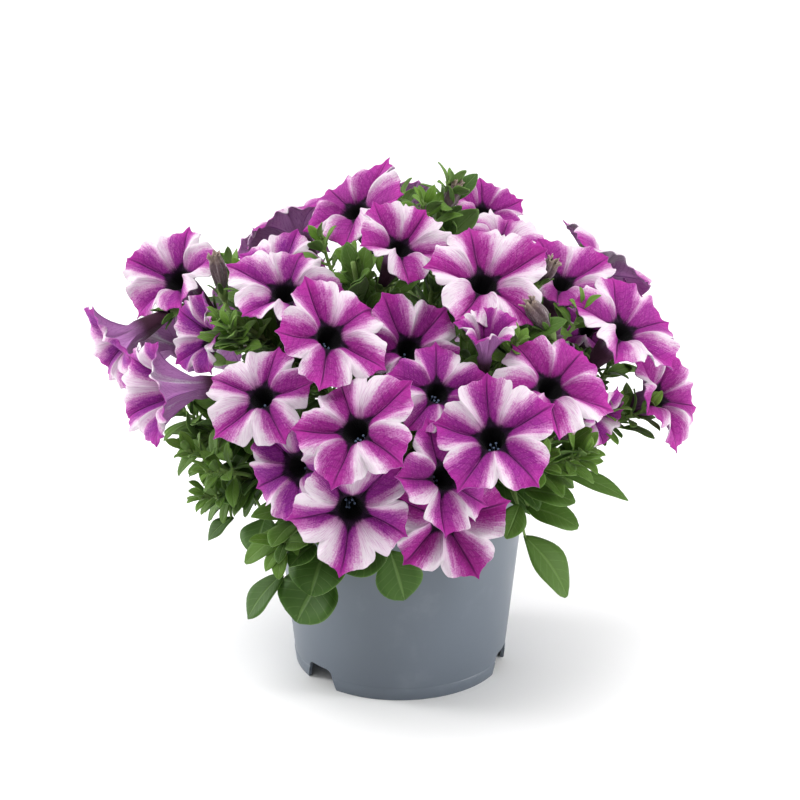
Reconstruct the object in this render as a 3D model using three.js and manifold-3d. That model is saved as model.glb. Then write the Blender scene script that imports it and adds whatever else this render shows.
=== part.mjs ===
// A petunia in full flower in the plain round plastic pot that a nursery grows it in.
// Millimetres, +Z up. The pot stands on z = 0 with its axis on Z, and the front is towards -Y.
// A bearing is measured round Z from the front towards +X, a lift upwards from level, both in degrees.
import * as THREE from 'three';
import { mergeVertices } from 'three/addons/utils/BufferGeometryUtils.js';
import Module from 'manifold-3d';

const wasm = await Module();
wasm.setup();

// ---------------------------------------------------------------- driving sizes

const CLEAR = 0.35; // air left between two neighbouring solids
const SLIVER = { side: 0.03, height: 0.01 };

const POT = {
  height: 105,
  foot: 51, // outer radius where the wall meets the ground
  taper: 0.105, // growth of that radius for each millimetre of height
  wall: 1.5,
  floor: 8, // underside of the raised floor
  corner: 12, // rounding between floor and wall
  lip: 2.2, // how far the lip stands out of the wall
  lipDepth: 6,
  skirt: 13.4, // height at which the foot skirt leaves the rounded corner
  notchBearings: [-48, 72, 192],
  notchWidth: 20, // degrees
  notchHeight: 10,
  pad: 14, // radius of the middle foot
  holes: 4,
  holeRadius: 4,
  holeRing: 30,
  sides: 30,
};

const SOIL = { top: 93, crown: 3, lump: 1.2, sides: 16 };

const STALK = { stem: 1.7, flowerStalk: 1.0, leafStalk: 0.8, sink: 14, rise: 6, sides: 4, steps: 5, spacing: 3 };

const LIMB = {
  thick: 0.9,
  throat: 0.2, // radius of the throat in limb radii
  tubeEnd: 0.075, // radius of the tube's end
  tubeLength: 1.12,
  pit: 0.55, // depth of the open throat
  notch: 0.26, // depth of the cut between two lobes
  reflex: 0.1, // how far the lobe tips bend back
  fold: 0.06, // height of the fold between two midribs
};

const CALYX = { length: 9, spread: 6.2, body: 3.3, neck: 2.7 };

const BLADE = { thick: 0.8, crease: 0.14 };

// The open blooms. Each row holds the middle of the throat x, y, z, the bearing and the lift that the
// bloom faces, the turn of its first lobe, the radius of its limb and how deep it cups.
const OPEN_BLOOMS = [
  [-106, 24, 185, -45, 46, 53, 29, 0.3],
  [-21, 14, 222, -50, 60, 66, 28, 0.25],
  [0, -40, 220, 35, 56, 60, 24, 0.3],
  [37, -54, 208, 20, 58, 3, 31, 0.25],
  [41, 65, 207, 40, 60, 30, 22, 0.3],
  [74, -19, 197, 35, 66, 10, 27, 0.25],
  [100, -46, 183, 50, 50, 27, 28, 0.25],
  [118, -32, 146, 55, 30, 50, 27, 0.33],
  [65, -92, 173, 30, 54, 59, 29, 0.22],
  [-30, -92, 196, 25, 42, 61, 28, 0.17],
  [4, -74, 184, 20, 42, 53, 26, 0.25],
  [16, -99, 173, 15, 42, 9, 23, 0.17],
  [-60, -88, 167, -22, 50, 67, 26, 0.15],
  [-19, -120, 164, -25, 44, 38, 29, 0.17],
  [39, -119, 160, -10, 45, 58, 28, 0.2],
  [-45, -97, 138, -38, 12, 17, 25, 0.25],
  [-21, -120, 128, 4, 2, 42, 28, 0.15],
  [19, -119, 142, 35, 25, 63, 27, 0.2],
  [19, -101, 115, 8, 11, 7, 28, 0.15],
  [-51, -49, 202, 0, 62, 13, 28, 0.2],
  [-128, -6, 166, -62, -22, 10, 24, 0.5],
  [-96, -58, 160, -62, 5, 10, 25, 0.8],
  [-85, -34, 176, -55, 15, 0, 20, 0.45],
  [-56, -8, 200, -20, 72, 0, 24, 0.2],
  [37, -84, 187, 10, 75, 0, 14, 1.0],
  [86, -14, 172, 20, 60, 30, 16, 0.3],
  [88, -53, 146, 50, -15, 20, 16, 0.4],
  [48, 20, 206, 80, 72, 15, 26, 0.2],
  [-6, 72, 206, 185, 55, 40, 28, 0.2],
  [-52, 51, 204, 228, 52, 5, 27, 0.25],
  [112, 34, 152, 104, 18, 22, 26, 0.3],
  [84, 88, 138, 136, 12, 50, 28, 0.25],
  [28, 116, 134, 166, 8, 10, 28, 0.2],
  [-36, 114, 136, 197, 12, 33, 28, 0.25],
  [-88, 82, 140, 228, 10, 62, 28, 0.2],
  [-114, 34, 150, 256, 14, 25, 25, 0.3],
  [98, 48, 185, 112, 42, 44, 27, 0.25],
  [40, 96, 178, 156, 38, 12, 28, 0.2],
  [-56, 88, 180, 208, 40, 30, 28, 0.25],
];

// The spent blooms, shrunk to a dry funnel. Each row holds the open end, the base in the calyx and the
// radius of the open end.
const SPENT_BLOOMS = [
  [-85, -20, 212, -81, -20, 192, 3.4],
  [27, 0, 241, 19, 0, 224, 3.4],
  [69, -42, 216, 61, -40, 203, 3.6],
  [55, -68, 205, 66, -66, 189, 3.8],
  [28, -95, 161, 9, -94, 149, 3.2],
  [76, -80, 150, 65, -80, 144, 3.0],
];

// The leafy stems. Each has a name, the bearing and radius at which it leaves the soil, the point that its
// arch bends towards, its tip, the number of leaves that stand round it by rule and the turn of the first.
const STEMS = [
  ['stem_front', [0, 14], [2, -46, 132], [5, -93, 145], 3, 260],
  ['stem_front_left', [-28, 20], [-26, -52, 124], [-52, -80, 94], 3, 90],
  ['stem_left_low', [-58, 22], [-48, -24, 121], [-83, -36, 98], 4, 95],
  ['stem_left', [-92, 18], [-52, -10, 137], [-94, -30, 124], 4, 208],
  ['stem_left_high', [-75, 8], [-36, -24, 152], [-69, -51, 187], 6, 284],
  ['stem_top_left', [-20, 6], [-12, -22, 156], [-21, -42, 214], 6, 26],
  ['stem_top', [150, 4], [10, 2, 162], [23, 0, 230], 6, 339],
  ['stem_right_high', [40, 9], [26, -26, 152], [56, -66, 186], 6, 350],
  ['stem_front_right', [38, 22], [30, -46, 128], [66, -68, 126], 3, 335],
  ['stem_right', [85, 18], [52, -10, 137], [97, -30, 132], 4, 2],
  ['stem_back_right', [128, 18], [38, 34, 142], [82, 66, 152], 7, 77],
  ['stem_back', [180, 16], [2, 46, 146], [4, 98, 156], 6, 177],
  ['stem_back_left', [232, 18], [-38, 36, 142], [-80, 64, 158], 7, 215],
];

// The leaves that show one by one. Each row holds the base of the blade, its tip and its width.
const PLACED_LEAVES = [
  [-52, -62, 73, -70, -66, 50, 14],
  [-32, -66, 76, -47, -78, 54, 31],
  [-32, -72, 90, -40, -88, 72, 26],
  [-61, -52, 97, -65, -66, 82, 19],
  [-76, -40, 91, -89, -45, 80, 11],
  [-52, -80, 94, -60, -88, 84, 6],
  [-52, -80, 93, -54, -92, 82, 7],
  [-52, -80, 94, -67, -88, 99, 7],
  [-52, -80, 94, -41, -92, 99, 9],
  [-37, -76, 93, -49, -90, 87, 12],
  [-4, -80, 95, -24, -90, 84, 18],
  [-5, -84, 95, 2, -86, 69, 20],
  [-94, -30, 124, -105, -38, 131, 6],
  [-94, -30, 124, -107, -32, 123, 5],
  [-93, -30, 122, -103, -38, 120, 5],
  [-91, -30, 124, -98, -34, 140, 8],
  [-83, -36, 98, -97, -44, 105, 6],
  [-78, -40, 94, -89, -48, 101, 6],
  [-78, -36, 107, -90, -40, 117, 10],
  [-85, -40, 124, -76, -54, 124, 7],
  [-81, -40, 108, -74, -62, 106, 12],
  [66, -64, 124, 103, -66, 109, 10],
  [68, -66, 128, 92, -58, 125, 8],
  [53, -76, 119, 78, -80, 114, 13],
  [54, -70, 109, 80, -76, 100, 15],
  [54, -66, 95, 76, -72, 64, 19],
  [54, -76, 113, 47, -88, 100, 11],
  [66, -60, 122, 79, -58, 112, 9],
  [62, -74, 130, 60, -84, 151, 7],
  [71, -70, 133, 85, -74, 147, 8],
  [69, -72, 131, 78, -84, 140, 8],
  [97, -30, 132, 95, -36, 145, 7],
  [98, -30, 133, 107, -28, 147, 10],
  [101, -32, 132, 117, -38, 128, 8],
  [84, -50, 128, 97, -40, 131, 5],
  [5, -92, 146, 0, -98, 164, 6],
  [6, -92, 146, 10, -98, 164, 6],
  [6, -92, 145, 18, -102, 141, 8],
  [3, -90, 142, -7, -95, 140, 7],
  [4, -90, 142, 8, -102, 134, 9],
];

const COLOURS = {
  pot: 0x767f8c,
  soil: 0x3a2c22,
  green: 0x4f7a38,
  petal: 0xa8459f,
  spent: 0x5b4a48,
};

// ---------------------------------------------------------------- small tools

const rad = THREE.MathUtils.degToRad;
const up = new THREE.Vector3(0, 0, 1);
const v3 = (x, y, z) => new THREE.Vector3(x, y, z);

// A unit vector for a bearing and a lift.
function heading(bearing, lift) {
  const b = rad(bearing);
  const l = rad(lift);
  return v3(Math.sin(b) * Math.cos(l), -Math.cos(b) * Math.cos(l), Math.sin(l));
}

// A repeatable draw between 0 and 1 for two whole numbers.
function draw(i, j) {
  const s = Math.sin(i * 12.9898 + j * 78.233) * 43758.5453;
  return s - Math.floor(s);
}

// A closed skin built ring by ring.
class Skin {
  constructor() {
    this.points = [];
    this.faces = [];
  }

  ring(points) {
    const first = this.points.length;
    this.points.push(...points);
    return points.map((_, i) => first + i);
  }

  // Joins ring a to ring b, which lies further along the skin's outside and may hold half or twice as many.
  band(a, b) {
    const n = Math.max(a.length, b.length);
    const pick = (ring, i) => ring[Math.floor(((i % n) * ring.length) / n)];
    for (let i = 0; i < n; i++) {
      const quad = [pick(a, i), pick(a, i + 1), pick(b, i + 1), pick(b, i)];
      if (quad[0] !== quad[1]) this.faces.push([quad[0], quad[1], quad[2]]);
      if (quad[2] !== quad[3]) this.faces.push([quad[0], quad[2], quad[3]]);
    }
  }

  // Closes a ring with a fan round its first point.
  fan(ring) {
    for (let i = 1; i < ring.length - 1; i++) this.faces.push([ring[0], ring[i], ring[i + 1]]);
  }

  geometry() {
    const geometry = new THREE.BufferGeometry();
    const numbers = this.points.flatMap((p) => [p.x, p.y, p.z]);
    geometry.setAttribute('position', new THREE.Float32BufferAttribute(numbers, 3));
    geometry.setIndex(this.faces.flat());
    return geometry;
  }
}

function toSolid(geometry) {
  const bare = geometry.clone();
  bare.deleteAttribute('normal');
  bare.deleteAttribute('uv');
  const merged = mergeVertices(bare, 1e-4);
  return new wasm.Manifold(new wasm.Mesh({
    numProp: 3,
    vertProperties: new Float32Array(merged.attributes.position.array),
    triVerts: new Uint32Array(merged.index.array),
  }));
}

function toGeometry(solid) {
  const mesh = withoutSlivers(solid).getMesh();
  const geometry = new THREE.BufferGeometry();
  geometry.setAttribute('position', new THREE.BufferAttribute(new Float32Array(mesh.vertProperties), 3));
  geometry.setIndex(new THREE.BufferAttribute(new Uint32Array(mesh.triVerts), 1));
  geometry.computeVertexNormals();
  return geometry;
}

function join(solids) {
  return solids.reduce((sum, solid) => sum.add(solid));
}

function meet(a, b) {
  const p = a.boundingBox();
  const q = b.boundingBox();
  return [0, 1, 2].every((k) => p.min[k] < q.max[k] && q.min[k] < p.max[k]);
}

function cutAll(solid, cutters) {
  return cutters.reduce((left, cutter) => (meet(left, cutter) ? left.subtract(cutter) : left), solid);
}

function biggest(solid) {
  const bodies = solid.decompose();
  return bodies.reduce((best, body) => (body.volume() > best.volume() ? body : best));
}

// Joins leave a few faces far thinner than the pieces are exact. A side shorter than SLIVER.side shrinks to
// a point, and a face lower than SLIVER.height turns its long side across the pair, where that is better.
function withoutSlivers(solid) {
  const mesh = solid.getMesh();
  const points = Array.from({ length: mesh.numVert }, (_, i) => v3(...mesh.vertProperties.slice(3 * i, 3 * i + 3)));
  let faces = Array.from({ length: mesh.numTri }, (_, i) => [...mesh.triVerts.slice(3 * i, 3 * i + 3)]);
  const settled = new Set();
  const neighbours = (p) => new Set(faces.filter((face) => face.includes(p)).flat());
  const shared = (p, q) => [...neighbours(p)].filter((r) => r !== p && r !== q && neighbours(q).has(r));
  const across = (p, q) => faces.find((face) => [0, 1, 2].some((k) => face[k] === q && face[(k + 1) % 3] === p));

  const shrink = (p, q) => {
    if (shared(p, q).length !== 2) return false;
    faces = faces.map((face) => face.map((r) => (r === q ? p : r))).filter((face) => new Set(face).size === 3);
    return true;
  };
  const height = (face) => {
    const corners = face.map((i) => points[i]);
    const longest = Math.max(...corners.map((corner, k) => corner.distanceTo(corners[(k + 1) % 3])));
    return (2 * new THREE.Triangle(...corners).getArea()) / longest;
  };
  const turn = (face, p, q, tip) => {
    const other = across(p, q);
    const far = other.find((r) => r !== p && r !== q);
    const pair = [[tip, p, far], [tip, far, q]];
    const better = Math.min(...pair.map(height)) > 1.5 * Math.min(height(face), height(other));
    if (!better || neighbours(tip).has(far)) return false;
    faces = faces.filter((one) => one !== face && one !== other).concat(pair);
    return true;
  };
  const mend = (face) => {
    const sides = [0, 1, 2].map((k) => {
      const [p, q, tip] = [face[k], face[(k + 1) % 3], face[(k + 2) % 3]];
      return { p, q, tip, length: points[p].distanceTo(points[q]) };
    }).sort((one, other) => one.length - other.length);
    const [short, , long] = sides;
    if (short.length < SLIVER.side && shrink(short.p, short.q)) return true;
    return height(face) < SLIVER.height && turn(face, long.p, long.q, long.tip);
  };
  for (let face = faces[0]; face; face = faces.find((one) => !settled.has(one))) {
    if (!mend(face)) settled.add(face);
  }
  const used = [...new Set(faces.flat())];
  return new wasm.Manifold(new wasm.Mesh({
    numProp: 3,
    vertProperties: new Float32Array(used.flatMap((i) => points[i].toArray())),
    triVerts: new Uint32Array(faces.flat().map((i) => used.indexOf(i))),
  }));
}

// ---------------------------------------------------------------- the pot and the soil

const outerRadius = (z) => POT.foot + POT.taper * z;

function lathe(profile, sides) {
  const geometry = new THREE.LatheGeometry(profile.map(([r, z]) => new THREE.Vector2(r, z)), sides);
  geometry.rotateX(Math.PI / 2);
  return toSolid(geometry);
}

// The rounded lower corner at a few angles from the floor, 0, towards the wall, 90, drawn in by an inset.
function cornerArc(inset, angles) {
  const middleZ = POT.floor + POT.corner;
  const middleR = outerRadius(middleZ) - POT.corner;
  const reach = POT.corner - inset;
  return angles.map((angle) => [
    middleR + reach * Math.sin(rad(angle)),
    middleZ - reach * Math.cos(rad(angle)),
  ]);
}

function potSolid() {
  const { height, wall, floor, lip, lipDepth, pad, skirt } = POT;
  const under = height - lipDepth;
  const shell = lathe([
    [0, 0],
    [pad, 0],
    [pad + 2, floor],
    ...cornerArc(0, [0, 28]),
    [outerRadius(skirt) - wall, skirt],
    [outerRadius(0) - wall, 0],
    [outerRadius(0), 0],
    [outerRadius(under), under],
    [outerRadius(under) + lip, under + 1],
    [outerRadius(height) + lip, height],
    [outerRadius(height) + lip - wall, height],
    [outerRadius(under) - wall, under],
    ...cornerArc(wall, [90, 45, 0]),
    [0, floor + wall],
  ], POT.sides);
  return cutAll(shell, [...POT.notchBearings.map(notch), ...drainHoles()]);
}

// A wedge out of the foot skirt, wider at the ground than at its top.
function notch(bearing) {
  const half = outerRadius(0) * Math.tan(rad(POT.notchWidth / 2));
  const outline = new THREE.Shape([
    new THREE.Vector2(-half - 1.5, -1),
    new THREE.Vector2(half + 1.5, -1),
    new THREE.Vector2(half - 1, POT.notchHeight - 2),
    new THREE.Vector2(half - 4, POT.notchHeight),
    new THREE.Vector2(4 - half, POT.notchHeight),
    new THREE.Vector2(1 - half, POT.notchHeight - 2),
  ]);
  const wedge = new THREE.ExtrudeGeometry(outline, { depth: 20, bevelEnabled: false });
  wedge.rotateX(Math.PI / 2);
  wedge.translate(0, POT.wall + 1 - outerRadius(0), 0);
  wedge.rotateZ(rad(bearing));
  return toSolid(wedge);
}

function drainHoles() {
  return Array.from({ length: POT.holes }, (_, i) => {
    const hole = new THREE.CylinderGeometry(POT.holeRadius, POT.holeRadius, 6, 6);
    hole.rotateX(Math.PI / 2);
    const a = (2 * Math.PI * (i + 0.5)) / POT.holes;
    hole.translate(POT.holeRing * Math.cos(a), POT.holeRing * Math.sin(a), POT.floor + 1);
    return toSolid(hole);
  });
}

// The whole room that the pot takes, which foliage stays out of.
function potRoom() {
  const { height, lip, lipDepth } = POT;
  const under = height - lipDepth;
  return lathe([
    [0, -CLEAR],
    [outerRadius(0) + CLEAR, -CLEAR],
    [outerRadius(under) + CLEAR, under - CLEAR],
    [outerRadius(under) + lip + CLEAR, under],
    [outerRadius(height) + lip + CLEAR, height + CLEAR],
    [outerRadius(height) - POT.wall, height + CLEAR],
    [outerRadius(SOIL.top) - POT.wall, SOIL.top + SOIL.crown],
    [0, SOIL.top - STALK.sink - 1],
  ], POT.sides);
}

function soilSolid(holes) {
  const inset = POT.wall + CLEAR;
  const edge = outerRadius(SOIL.top) - inset;
  const lump = (r, i) => SOIL.crown * (1 - (r / edge) ** 2) + SOIL.lump * (2 * draw(i, Math.round(r)) - 1);
  const skin = new Skin();
  const circle = (r, z) => Array.from({ length: SOIL.sides }, (_, i) => {
    const a = (2 * Math.PI * i) / SOIL.sides;
    return v3(r * Math.cos(a), r * Math.sin(a), typeof z === 'function' ? z(i) : z);
  });
  // The pot has flat sides, so the soil stays inside the middle of each side.
  const snug = Math.cos(Math.PI / POT.sides) - 0.004;
  const arc = cornerArc(inset, [0, 45, 90]).map(([r, z]) => circle(r * snug, z + 0.1));
  const rings = [
    ...arc,
    circle(edge * snug, SOIL.top - 1),
    circle(edge * 0.72, (i) => SOIL.top + lump(edge * 0.72, i)),
    circle(edge * 0.36, (i) => SOIL.top + lump(edge * 0.36, i)),
  ].map((points) => skin.ring(points));
  for (let k = 0; k < rings.length - 1; k++) skin.band(rings[k], rings[k + 1]);
  skin.fan(rings[rings.length - 1]);
  skin.fan([...rings[0]].reverse());
  return cutAll(toSolid(skin.geometry()), holes);
}

// ---------------------------------------------------------------- the blooms

// The axes of a bloom: n points out of its face, and a and b span its limb.
function bloomFrame([x, y, z, bearing, lift]) {
  const n = heading(bearing, lift);
  const a = up.clone().addScaledVector(n, -n.z).normalize();
  const b = new THREE.Vector3().crossVectors(a, n);
  return { at: v3(x, y, z), n, a, b };
}

// Length of a lobe against the limb radius, and how strongly its tip bends back.
const lobeLength = (index, lobe) => 0.93 + 0.13 * draw(index, lobe);
const lobeReflex = (index, lobe) => LIMB.reflex * (0.3 + 1.6 * draw(index, lobe + 7));
const lobeLift = (index, lobe) => 0.16 * (draw(index, lobe + 13) - 0.5);

// Reach and height of the limb, in limb radii. side runs from -1 to 1 across lobe number lobe, with the
// midrib at 0, and s runs from the throat to the rim.
function limb(index, lobe, side, s, cup) {
  const t = Math.abs(side);
  const other = (lobe + Math.sign(side) + 5) % 5;
  const share = (t * t) / 2;
  const blend = (f) => (1 - share) * f(index, lobe) + share * f(index, other);
  const cut = THREE.MathUtils.smoothstep(t, 0.72, 1);
  const rim = blend(lobeLength) * (1 - 0.07 * t - LIMB.notch * cut);
  const reach = LIMB.throat + (rim - LIMB.throat) * s;
  const height = cup * (1 - (1 - s) ** 2)
    + LIMB.fold * Math.sin(Math.PI * s) * (2 * t - 1)
    - blend(lobeReflex) * s ** 3 * (1 - t)
    + blend(lobeLift) * s * s;
  return { reach, height };
}

// One corolla: a five-lobed limb of even thickness round an open throat, on a solid tapering tube.
function bloomSolid(row, index, grow = 0) {
  const [, , , , , spin, radius, cup] = row;
  const { at, n, a, b } = bloomFrame(row);
  const point = (turn, reach, height) => at.clone()
    .addScaledVector(a, reach * Math.cos(rad(turn)))
    .addScaledVector(b, reach * Math.sin(rad(turn)))
    .addScaledVector(n, height);
  const limbRing = (s, sides, lift) => Array.from({ length: 5 * sides.length }, (_, i) => {
    const side = sides[i % sides.length];
    const lobe = Math.floor(i / sides.length) + (side < 0 ? 1 : 0);
    const { reach, height } = limb(index, lobe % 5, side, s, cup);
    return point(spin + 72 * lobe + 36 * side, reach * radius + (s === 1 ? grow : 0), height * radius + lift);
  });
  const halfway = (lift) => limbRing(0.5, [0, 1], lift);
  const rim = (lift) => limbRing(1, [0, 0.62, 1, -0.62], lift);
  const circle = (count, reach, height) => Array.from({ length: count }, (_, i) => (
    point(spin + (360 * i) / count, reach, height)
  ));
  const skin = new Skin();
  const throat = LIMB.throat * radius;
  const front = [
    skin.ring(circle(5, throat * 0.5, -LIMB.pit * radius)),
    skin.ring(circle(10, throat, grow)),
    skin.ring(halfway(grow)),
    skin.ring(rim(grow)),
  ];
  const under = -LIMB.thick - grow;
  const back = [
    skin.ring(rim(under)),
    skin.ring(halfway(under)),
    skin.ring(circle(5, throat + 0.9 + grow, under - 0.12 * radius)),
    skin.ring(circle(5, LIMB.tubeEnd * radius + grow, -LIMB.tubeLength * radius - grow)),
  ];
  for (let k = 0; k < 3; k++) {
    skin.band(front[k], front[k + 1]);
    skin.band(back[k], back[k + 1]);
  }
  skin.band(front[3], back[0]);
  skin.fan([...front[0]].reverse());
  skin.fan(back[3]);
  return toSolid(skin.geometry());
}

// A spent bloom: a shrivelled funnel with a torn five-pointed mouth.
function spentSolid([x, y, z, baseX, baseY, baseZ, radius], grow = 0) {
  const mouth = v3(x, y, z);
  const base = v3(baseX, baseY, baseZ);
  const n = mouth.clone().sub(base).normalize();
  const length = mouth.distanceTo(base);
  const a = v3(1, 0, 0).addScaledVector(n, -n.x).normalize();
  const b = new THREE.Vector3().crossVectors(a, n);
  const ring = (count, reach, height, jag) => Array.from({ length: count }, (_, i) => {
    const turn = (2 * Math.PI * i) / count;
    const out = i % 2 ? reach * (1 - jag) : reach;
    return base.clone()
      .addScaledVector(a, (out + grow) * Math.cos(turn))
      .addScaledVector(b, (out + grow) * Math.sin(turn))
      .addScaledVector(n, height - (i % 2 ? jag * 6 : 0));
  });
  const skin = new Skin();
  const rings = [
    skin.ring(ring(5, radius * 0.45, -grow, 0)),
    skin.ring(ring(10, radius, length * 0.55, 0.15)),
    skin.ring(ring(10, radius * 0.85, length + grow, 0.4)),
    skin.ring(ring(5, radius * 0.3 - grow * 0.5, length * 0.7, 0)),
  ];
  for (let k = 0; k < 3; k++) skin.band(rings[k + 1], rings[k]);
  skin.fan(rings[0]);
  skin.fan([...rings[3]].reverse());
  return toSolid(skin.geometry());
}

// ---------------------------------------------------------------- the green growth

function stemCurve([, [bearing, radius], via, tip]) {
  const out = heading(bearing, 0).multiplyScalar(radius).setZ(SOIL.top + STALK.rise);
  return new THREE.QuadraticBezierCurve3(out, v3(...via), v3(...tip));
}

const curves = STEMS.map(stemCurve);

// The stem that passes nearest to a point, and where along it.
function nearest(point) {
  let best = { distance: Infinity };
  curves.forEach((curve, stem) => {
    for (let t = 0.4; t < 1.001; t += 0.02) {
      const distance = curve.getPoint(t).distanceTo(point);
      if (distance < best.distance) best = { distance, stem, t };
    }
  });
  return best;
}

// Stalks leave a stem one below the other: a place that is taken is moved down the stem.
const taken = STEMS.map(() => []);
function claim(stem, wanted) {
  const step = STALK.spacing / curves[stem].getLength();
  let t = wanted;
  while (taken[stem].some((other) => Math.abs(other - t) < step)) t -= step / 4;
  taken[stem].push(t);
  return curves[stem].getPoint(t);
}

// Points evenly round an axis, the first towards a guide vector.
function around(centre, axis, guide, count, reach, offset = 0) {
  const a = guide.clone().addScaledVector(axis, -guide.dot(axis)).normalize();
  const b = new THREE.Vector3().crossVectors(a, axis);
  return Array.from({ length: count }, (_, i) => {
    const turn = rad((360 * i) / count + offset);
    return centre.clone()
      .addScaledVector(a, reach * Math.cos(turn))
      .addScaledVector(b, reach * Math.sin(turn));
  });
}

// The main run of a leafy stem: a straight foot that stands in the soil, then its curve.
function stemSolid(stem, grow) {
  const [, [bearing]] = STEMS[stem];
  const guide = heading(bearing + 90, 0);
  const curve = curves[stem];
  const start = curve.getPoint(0);
  const skin = new Skin();
  const rings = [skin.ring(around(
    start.clone().setZ(SOIL.top - STALK.sink - grow), up, guide, STALK.sides, STALK.stem + grow,
  ))];
  for (let k = 0; k <= STALK.steps; k++) {
    const t = k / STALK.steps;
    const axis = k === 0 ? up : curve.getTangent(t);
    const reach = STALK.stem * (1 - 0.35 * t) + grow;
    rings.push(skin.ring(around(curve.getPoint(t), axis, guide, STALK.sides, reach)));
  }
  for (let k = 0; k < rings.length - 1; k++) skin.band(rings[k + 1], rings[k]);
  skin.fan(rings[0]);
  skin.fan([...rings[rings.length - 1]].reverse());
  return toSolid(skin.geometry());
}

// A calyx round the base of a bloom, with five pointed sepals, and the stalk that bears it.
function calyxAndStalk({ base, n, size, root }, grow) {
  const above = (height) => base.clone().addScaledVector(n, height);
  const bend = Math.min(14, root.distanceTo(base) * 0.45);
  const curve = new THREE.QuadraticBezierCurve3(root, above(-bend), above(-2.5));
  const guide = new THREE.Vector3().crossVectors(up, n).normalize();
  const skin = new Skin();
  const stops = curve.getLength() > 22 ? [0, 0.65] : [0];
  const rings = stops.map((t) => (
    skin.ring(around(curve.getPoint(t), curve.getTangent(t), guide, 3, STALK.flowerStalk * (t ? 1 : 0.6) + grow))
  ));
  const bottom = skin.ring(around(above(-2.5), n, guide, 5, CALYX.neck * size + grow));
  rings.push(bottom);
  const notches = skin.ring(around(above(grow), n, guide, 5, CALYX.body * size + grow, 36));
  const tips = skin.ring(around(above(CALYX.length * size), n, guide, 5, CALYX.spread * size + grow));
  for (let i = 0; i < 5; i++) {
    const before = (i + 4) % 5;
    const after = (i + 1) % 5;
    skin.faces.push(
      [tips[i], notches[i], bottom[i]],
      [notches[before], tips[i], bottom[i]],
      [bottom[i], notches[i], bottom[after]],
      [notches[i], tips[i], notches[before]],
    );
  }
  skin.fan([...notches].reverse());
  for (let k = 0; k < rings.length - 1; k++) skin.band(rings[k + 1], rings[k]);
  skin.fan(rings[0]);
  return toSolid(skin.geometry());
}

// Where a blade's width is given: narrow ones are a plain kite.
function stationsFor(width) {
  if (width > 14) return [0.22, 0.5, 0.8];
  return width > 11.5 ? [0.38, 0.76] : [0.5];
}

// A leaf: a three-sided stalk from the stem, then a thin blade of even thickness creased along its midrib.
function leafSolid({ root, base, tip, width, sag }, grow = 0) {
  const along = tip.clone().sub(base);
  const length = along.length();
  const outward = base.clone().setZ(0).normalize().multiplyScalar(0.6).add(v3(0, 0, 0.8));
  const across = new THREE.Vector3().crossVectors(along, outward).normalize();
  const normal = new THREE.Vector3().crossVectors(across, along).normalize();
  const half = (u) => 0.5 * width * Math.sin(Math.PI * u ** 0.85) ** 0.7 + grow;
  const middle = (u) => base.clone().addScaledVector(along, u)
    .addScaledVector(normal, sag * length * 4 * u * (1 - u));
  const thick = BLADE.thick / 2 + grow;
  const skin = new Skin();
  // The stalk's three corners: top left, top right and underneath.
  const corners = (centre, share) => {
    const reach = STALK.leafStalk * share + grow;
    const rise = (BLADE.thick / 2) * share + grow;
    return skin.ring([
      centre.clone().addScaledVector(across, -reach).addScaledVector(normal, rise),
      centre.clone().addScaledVector(across, reach).addScaledVector(normal, rise),
      centre.clone().addScaledVector(normal, -rise - 0.4 * STALK.leafStalk * share),
    ]);
  };
  const rootRing = corners(root, 0.6);
  const neck = corners(base, 1);
  const layer = (shift) => stationsFor(width).map((u) => {
    const centre = middle(u).addScaledVector(normal, shift);
    const edge = (sign) => centre.clone().addScaledVector(across, sign * half(u))
      .addScaledVector(normal, BLADE.crease * half(u));
    const [left, right, mid] = skin.ring([edge(-1), edge(1), centre]);
    return { left, right, mid };
  });
  const top = layer(thick);
  const bottom = layer(-thick);
  const [topTip, bottomTip] = skin.ring([thick, -thick].map((shift) => middle(1).addScaledVector(normal, shift)));
  const last = top.length - 1;
  const cover = (rows, end, flip) => {
    const put = (p, q, r) => skin.faces.push(flip ? [p, r, q] : [p, q, r]);
    for (let k = 0; k < last; k++) {
      const [p, q] = [rows[k], rows[k + 1]];
      put(p.left, p.mid, q.mid);
      put(p.left, q.mid, q.left);
      put(p.mid, p.right, q.right);
      put(p.mid, q.right, q.mid);
    }
    put(rows[last].left, rows[last].mid, end);
    put(rows[last].mid, rows[last].right, end);
  };
  cover(top, topTip, false);
  cover(bottom, bottomTip, true);
  const [leftNeck, rightNeck, underNeck] = neck;
  skin.faces.push(
    [leftNeck, top[0].mid, top[0].left],
    [leftNeck, rightNeck, top[0].mid],
    [rightNeck, top[0].right, top[0].mid],
    [underNeck, bottom[0].left, bottom[0].mid],
    [underNeck, bottom[0].mid, bottom[0].right],
    [rightNeck, underNeck, bottom[0].right],
    [rightNeck, bottom[0].right, top[0].right],
    [leftNeck, top[0].left, bottom[0].left],
    [leftNeck, bottom[0].left, underNeck],
  );
  const rightEdge = [...bottom.map((row) => row.right), bottomTip];
  const rightTop = [...top.map((row) => row.right), topTip];
  const leftEdge = [...bottom.map((row) => row.left), bottomTip];
  const leftTop = [...top.map((row) => row.left), topTip];
  for (let k = 0; k <= last; k++) {
    skin.faces.push(
      [rightEdge[k], rightEdge[k + 1], rightTop[k + 1]],
      [rightEdge[k], rightTop[k + 1], rightTop[k]],
      [leftEdge[k], leftTop[k + 1], leftEdge[k + 1]],
      [leftEdge[k], leftTop[k], leftTop[k + 1]],
    );
  }
  skin.band(rootRing, neck);
  skin.fan([...rootRing].reverse());
  return toSolid(skin.geometry());
}

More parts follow.
